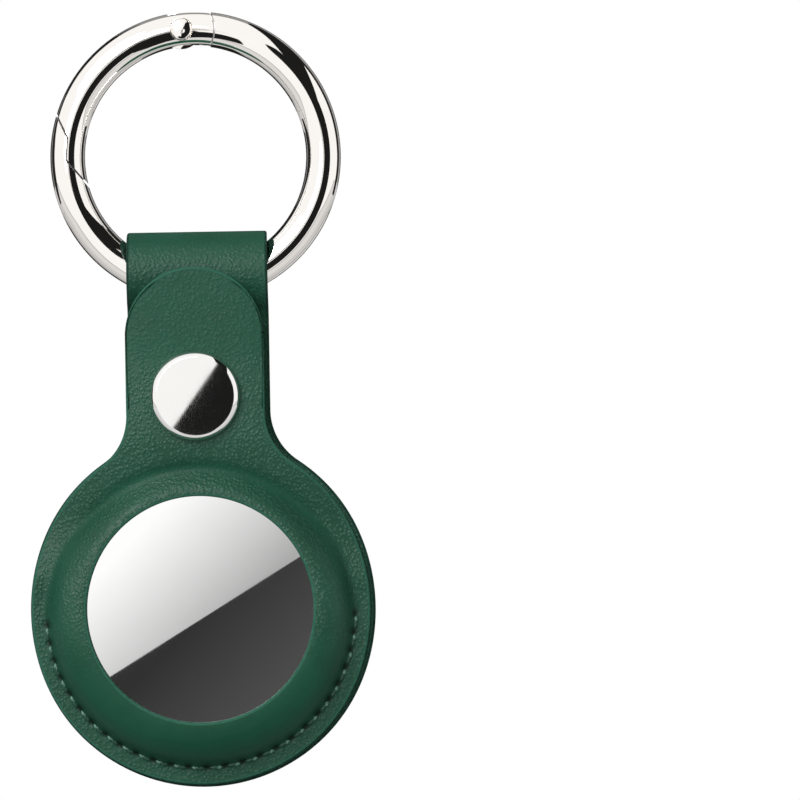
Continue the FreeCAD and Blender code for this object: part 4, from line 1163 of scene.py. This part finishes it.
def white_world():
    """White where it is seen directly or in a reflection, and soft light from above on matt surfaces."""
    world = bpy.data.worlds.new("studio")
    scene.world = world
    work = Nodes(world)
    work.tree.nodes.clear()
    path = work.add("ShaderNodeLightPath")
    seen = path.outputs["Is Camera Ray"]
    for kind in ("Is Glossy Ray", "Is Transmission Ray"):
        seen = work.combine(seen, path.outputs[kind], "MAXIMUM")
    direction = work.add("ShaderNodeTexCoord").outputs["Generated"]
    height = work.add("ShaderNodeSeparateXYZ", {0: direction}).outputs["Z"]
    level = work.span(height, -1, 1, AMBIENT_BELOW, AMBIENT_ABOVE)
    ambient = work.add("ShaderNodeBackground", {"Color": WHITE, "Strength": level})
    white = work.add("ShaderNodeBackground", {"Color": WHITE})
    mix = work.add("ShaderNodeMixShader", {"Fac": seen, 1: ambient.outputs[0], 2: white.outputs[0]})
    work.add("ShaderNodeOutputWorld", {"Surface": mix.outputs[0]})


# Lights, in metres, as (name, place, size, power, seen in reflections), turned to the holder's middle
HOLDER_MIDDLE = (0, 0, -0.03)
LIGHTS = (
    ("key", (-0.6, -0.9, 0.7), 0.6, 8.5, True),
    ("front_key", (-0.3, -1.2, 0.3), 0.6, 6.5, True),
    ("back_key", (0.6, 0.9, 0.75), 0.6, 11.0, False),
    ("back_fill", (-0.7, 1.0, 0.1), 0.8, 3.0, False),
    ("fill", (0.8, -1.0, -0.5), 0.8, 3.6, False),
)

white_world()
for name, place, size, power, in_reflections in LIGHTS:
    lamp = bpy.data.lights.new(name, "AREA")
    lamp.shape = "DISK"
    lamp.size = size
    lamp.energy = power
    light = put(name, lamp)
    light.visible_glossy = in_reflections
    light.location = place
    light.rotation_euler = (Vector(HOLDER_MIDDLE) - Vector(place)).to_track_quat("-Z", "Y").to_euler()

FLOOR_Z = -105.0
FLOOR_R = 350.0
FLOOR_FADE_R = 180.0
FLOOR_SIDES = 64
FLOOR_PALE = (0.88, 0.88, 0.87, 1)


def pale_floor():
    """A round pale floor that fades out into the white round it."""
    ring = circle_points(FLOOR_R, full_turn(FLOOR_SIDES)) * MM
    mesh = bpy.data.meshes.new("floor")
    mesh.from_pydata([(*point, FLOOR_Z * MM) for point in ring], [], [list(range(FLOOR_SIDES))])
    shader = Shader("floor")
    place = shader.add("ShaderNodeNewGeometry").outputs["Position"]
    flat = shader.add("ShaderNodeVectorMath", {0: place, 1: (1, 1, 0)}, operation="MULTIPLY")
    away = shader.add("ShaderNodeVectorMath", {0: flat.outputs["Vector"]}, operation="LENGTH")
    shown = shader.span(away.outputs["Value"], FLOOR_FADE_R * MM, FLOOR_R * MM, 1.0, 0.0)
    shader.set(base_color=FLOOR_PALE, roughness=0.9, alpha=shown)
    mesh.materials.append(shader.material)
    floor = put("floor", mesh)
    floor.visible_glossy = False
    floor.visible_diffuse = False


pale_floor()


# Cards round the set, which only shiny surfaces show. Their brightness is 1 for white.

CARD_R = 1500.0
WALL_ROWS = 24
WALL_STEP = 3.0
DIAGONAL = (1, 0, -1)


def card(name, points, faces, level, grade=None):
    """A card of one brightness, or with a grade (start, end, last level) along the diagonal."""
    mesh = bpy.data.meshes.new(name)
    mesh.from_pydata([tuple(part * MM for part in point) for point in points], [], faces)
    material = bpy.data.materials.new(name)
    mesh.materials.append(material)
    work = Nodes(material)
    work.tree.nodes.clear()
    if grade:
        start, end, last = grade
        place = work.add("ShaderNodeNewGeometry").outputs["Position"]
        along = work.add("ShaderNodeVectorMath", {0: place, 1: DIAGONAL}, operation="DOT_PRODUCT")
        level = work.span(along.outputs["Value"], start * MM, end * MM, level, last)
    glow = work.add("ShaderNodeEmission", {"Color": WHITE, "Strength": level})
    work.add("ShaderNodeOutputMaterial", {"Surface": glow.outputs[0]})
    piece = put(name, mesh)
    for rays in ("camera", "diffuse", "shadow", "transmission"):
        setattr(piece, f"visible_{rays}", False)


def upright_card(name, outline, depth, level, grade=None):
    """A flat card parallel to the photo, from its corners across and up."""
    card(name, [(across, depth, up) for across, up in outline], [list(range(len(outline)))], level, grade)


def wall_card(name, stations, level, side=-1, nearness=1.0):
    """A piece of the set's round wall, from (azimuth, first tilt, last tilt) stations.

    Azimuths run from the right upwards, tilts from straight in front."""
    turns, first, last = np.array(stations, float).T
    azimuth = np.arange(turns[0], turns[-1] + WALL_STEP / 2, WALL_STEP)
    azimuth[-1] = turns[-1]
    first = np.radians(np.interp(azimuth, turns, first))
    last = np.radians(np.interp(azimuth, turns, last))
    tilt = first + np.linspace(0, 1, WALL_ROWS)[:, None] * (last - first)
    azimuth = np.radians(azimuth)[None] + 0 * tilt
    across = -side * np.sin(tilt) * np.cos(azimuth)
    up = np.sin(tilt) * np.sin(azimuth)
    wall = CARD_R * nearness * np.stack([across, side * np.cos(tilt), up], axis=-1)
    card(name, wall.reshape(-1, 3) + np.array(HOLDER_MIDDLE) / MM, quads(numbers(wall)), level)


GLOW_Y = -1290.0
FLAG_Y = -1300.0
SKY_Y = -1320.0
BLACK = 0.012
SKY_LEVEL = 1.05
SKY_LAST = 0.43
FLAG_LEVEL = 0.033
FLAG_LAST = 0.076
TAG_SKY = ((-120, -116), (40, -116), (40, -46), (-120, -46))
TAG_FLAG = ((-77.5, -113.8), (22.4, -53.0), (40, -116), (-77.5, -116))
SNAP_FLAG = ((-45.6, -47), (0, 16.6), (40, 14), (40, -48))
SNAP_LOW_GLOW = ((-8.6, -116), (2.7, -78.9), (30, -78.9), (30, -116))
LOW_SKY = ((-60, -190), (60, -190), (60, -117), (-60, -117))
LOW_FLAG = ((-60, -189), (58, -117), (90, -160), (40, -215), (-60, -215))
upright_card("tag_sky", TAG_SKY, SKY_Y, SKY_LEVEL, (15.5, 63.0, SKY_LAST))
upright_card("tag_flag", TAG_FLAG, FLAG_Y, FLAG_LEVEL, (54.0, 93.5, FLAG_LAST))
upright_card("snap_flag", SNAP_FLAG, FLAG_Y, BLACK)
upright_card("snap_low_glow", SNAP_LOW_GLOW, GLOW_Y, 1.0)
upright_card("low_sky", LOW_SKY, SKY_Y, SKY_LEVEL, (104.0, 152.0, SKY_LAST))
upright_card("low_flag", LOW_FLAG, FLAG_Y, FLAG_LEVEL, (145.0, 185.0, FLAG_LAST))

DARK_WALL = ((-97, 6.5, 46), (44, 6.5, 46), (50, 3, 44), (56, 0.5, 44), (63, 0.5, 30), (66, 0.5, 10))
DARK_CORNER = ((28, 40, 46), (36, 40, 74), (44, 40, 112), (52, 42, 124), (60, 78, 130), (70, 112, 134))
BACK_CORNER = ((28, 40, 46), (36, 40, 60), (44, 40, 66), (58, 42, 66), (64, 44, 50))
LEFT_EDGE = ((112, 122, 132), (140, 120, 132), (160, 108, 128), (172, 96, 126), (186, 95, 126),
             (195, 106, 124))
LOW_WALL = ((-118, 20, 44), (-108, 20, 52), (-94, 20, 60), (-72, 20, 68), (-66, 20, 66), (-59, 20, 46))
HIGH_WALL = ((-20, 112, 140), (200, 112, 140))
RIGHT_EDGE = ((-14, 103, 126), (62, 103, 126))
REAR_WALL = ((0, 142, 171), (360, 142, 171))
HIGH_LEVEL = 0.3
REAR_LEVEL = 0.1
EDGE_LEVEL = 0.02
NEAR = 0.95
NEARER = 0.9
SIDE_TAPER = 40
SIDE_WALLS = (("line", 50, 57, 0.55), ("pale", 57, 86, 0.74), ("grey", 86, 112, 0.62),
              ("low", 112, 134, 0.47))
for side, name, corner in ((-1, "front", DARK_CORNER), (1, "back", BACK_CORNER)):
    wall_card(f"dark_wall_{name}", DARK_WALL, BLACK, side)
    wall_card(f"dark_corner_{name}", corner, BLACK, side, NEARER)
    wall_card(f"dark_low_{name}", LOW_WALL, BLACK, side, NEARER)
for name, first, last, level in SIDE_WALLS:
    ends = (first + SIDE_TAPER, last + SIDE_TAPER)
    stations = ((-173, *ends), (-155, first, last), (-24, first, last), (-8, *ends))
    wall_card(f"side_wall_{name}", stations, level)
wall_card("side_wall_high", HIGH_WALL, HIGH_LEVEL)
wall_card("side_edge_right", RIGHT_EDGE, EDGE_LEVEL, nearness=NEAR)
wall_card("side_edge_left", LEFT_EDGE, EDGE_LEVEL, nearness=NEAR)
wall_card("rear_wall", REAR_WALL, REAR_LEVEL)
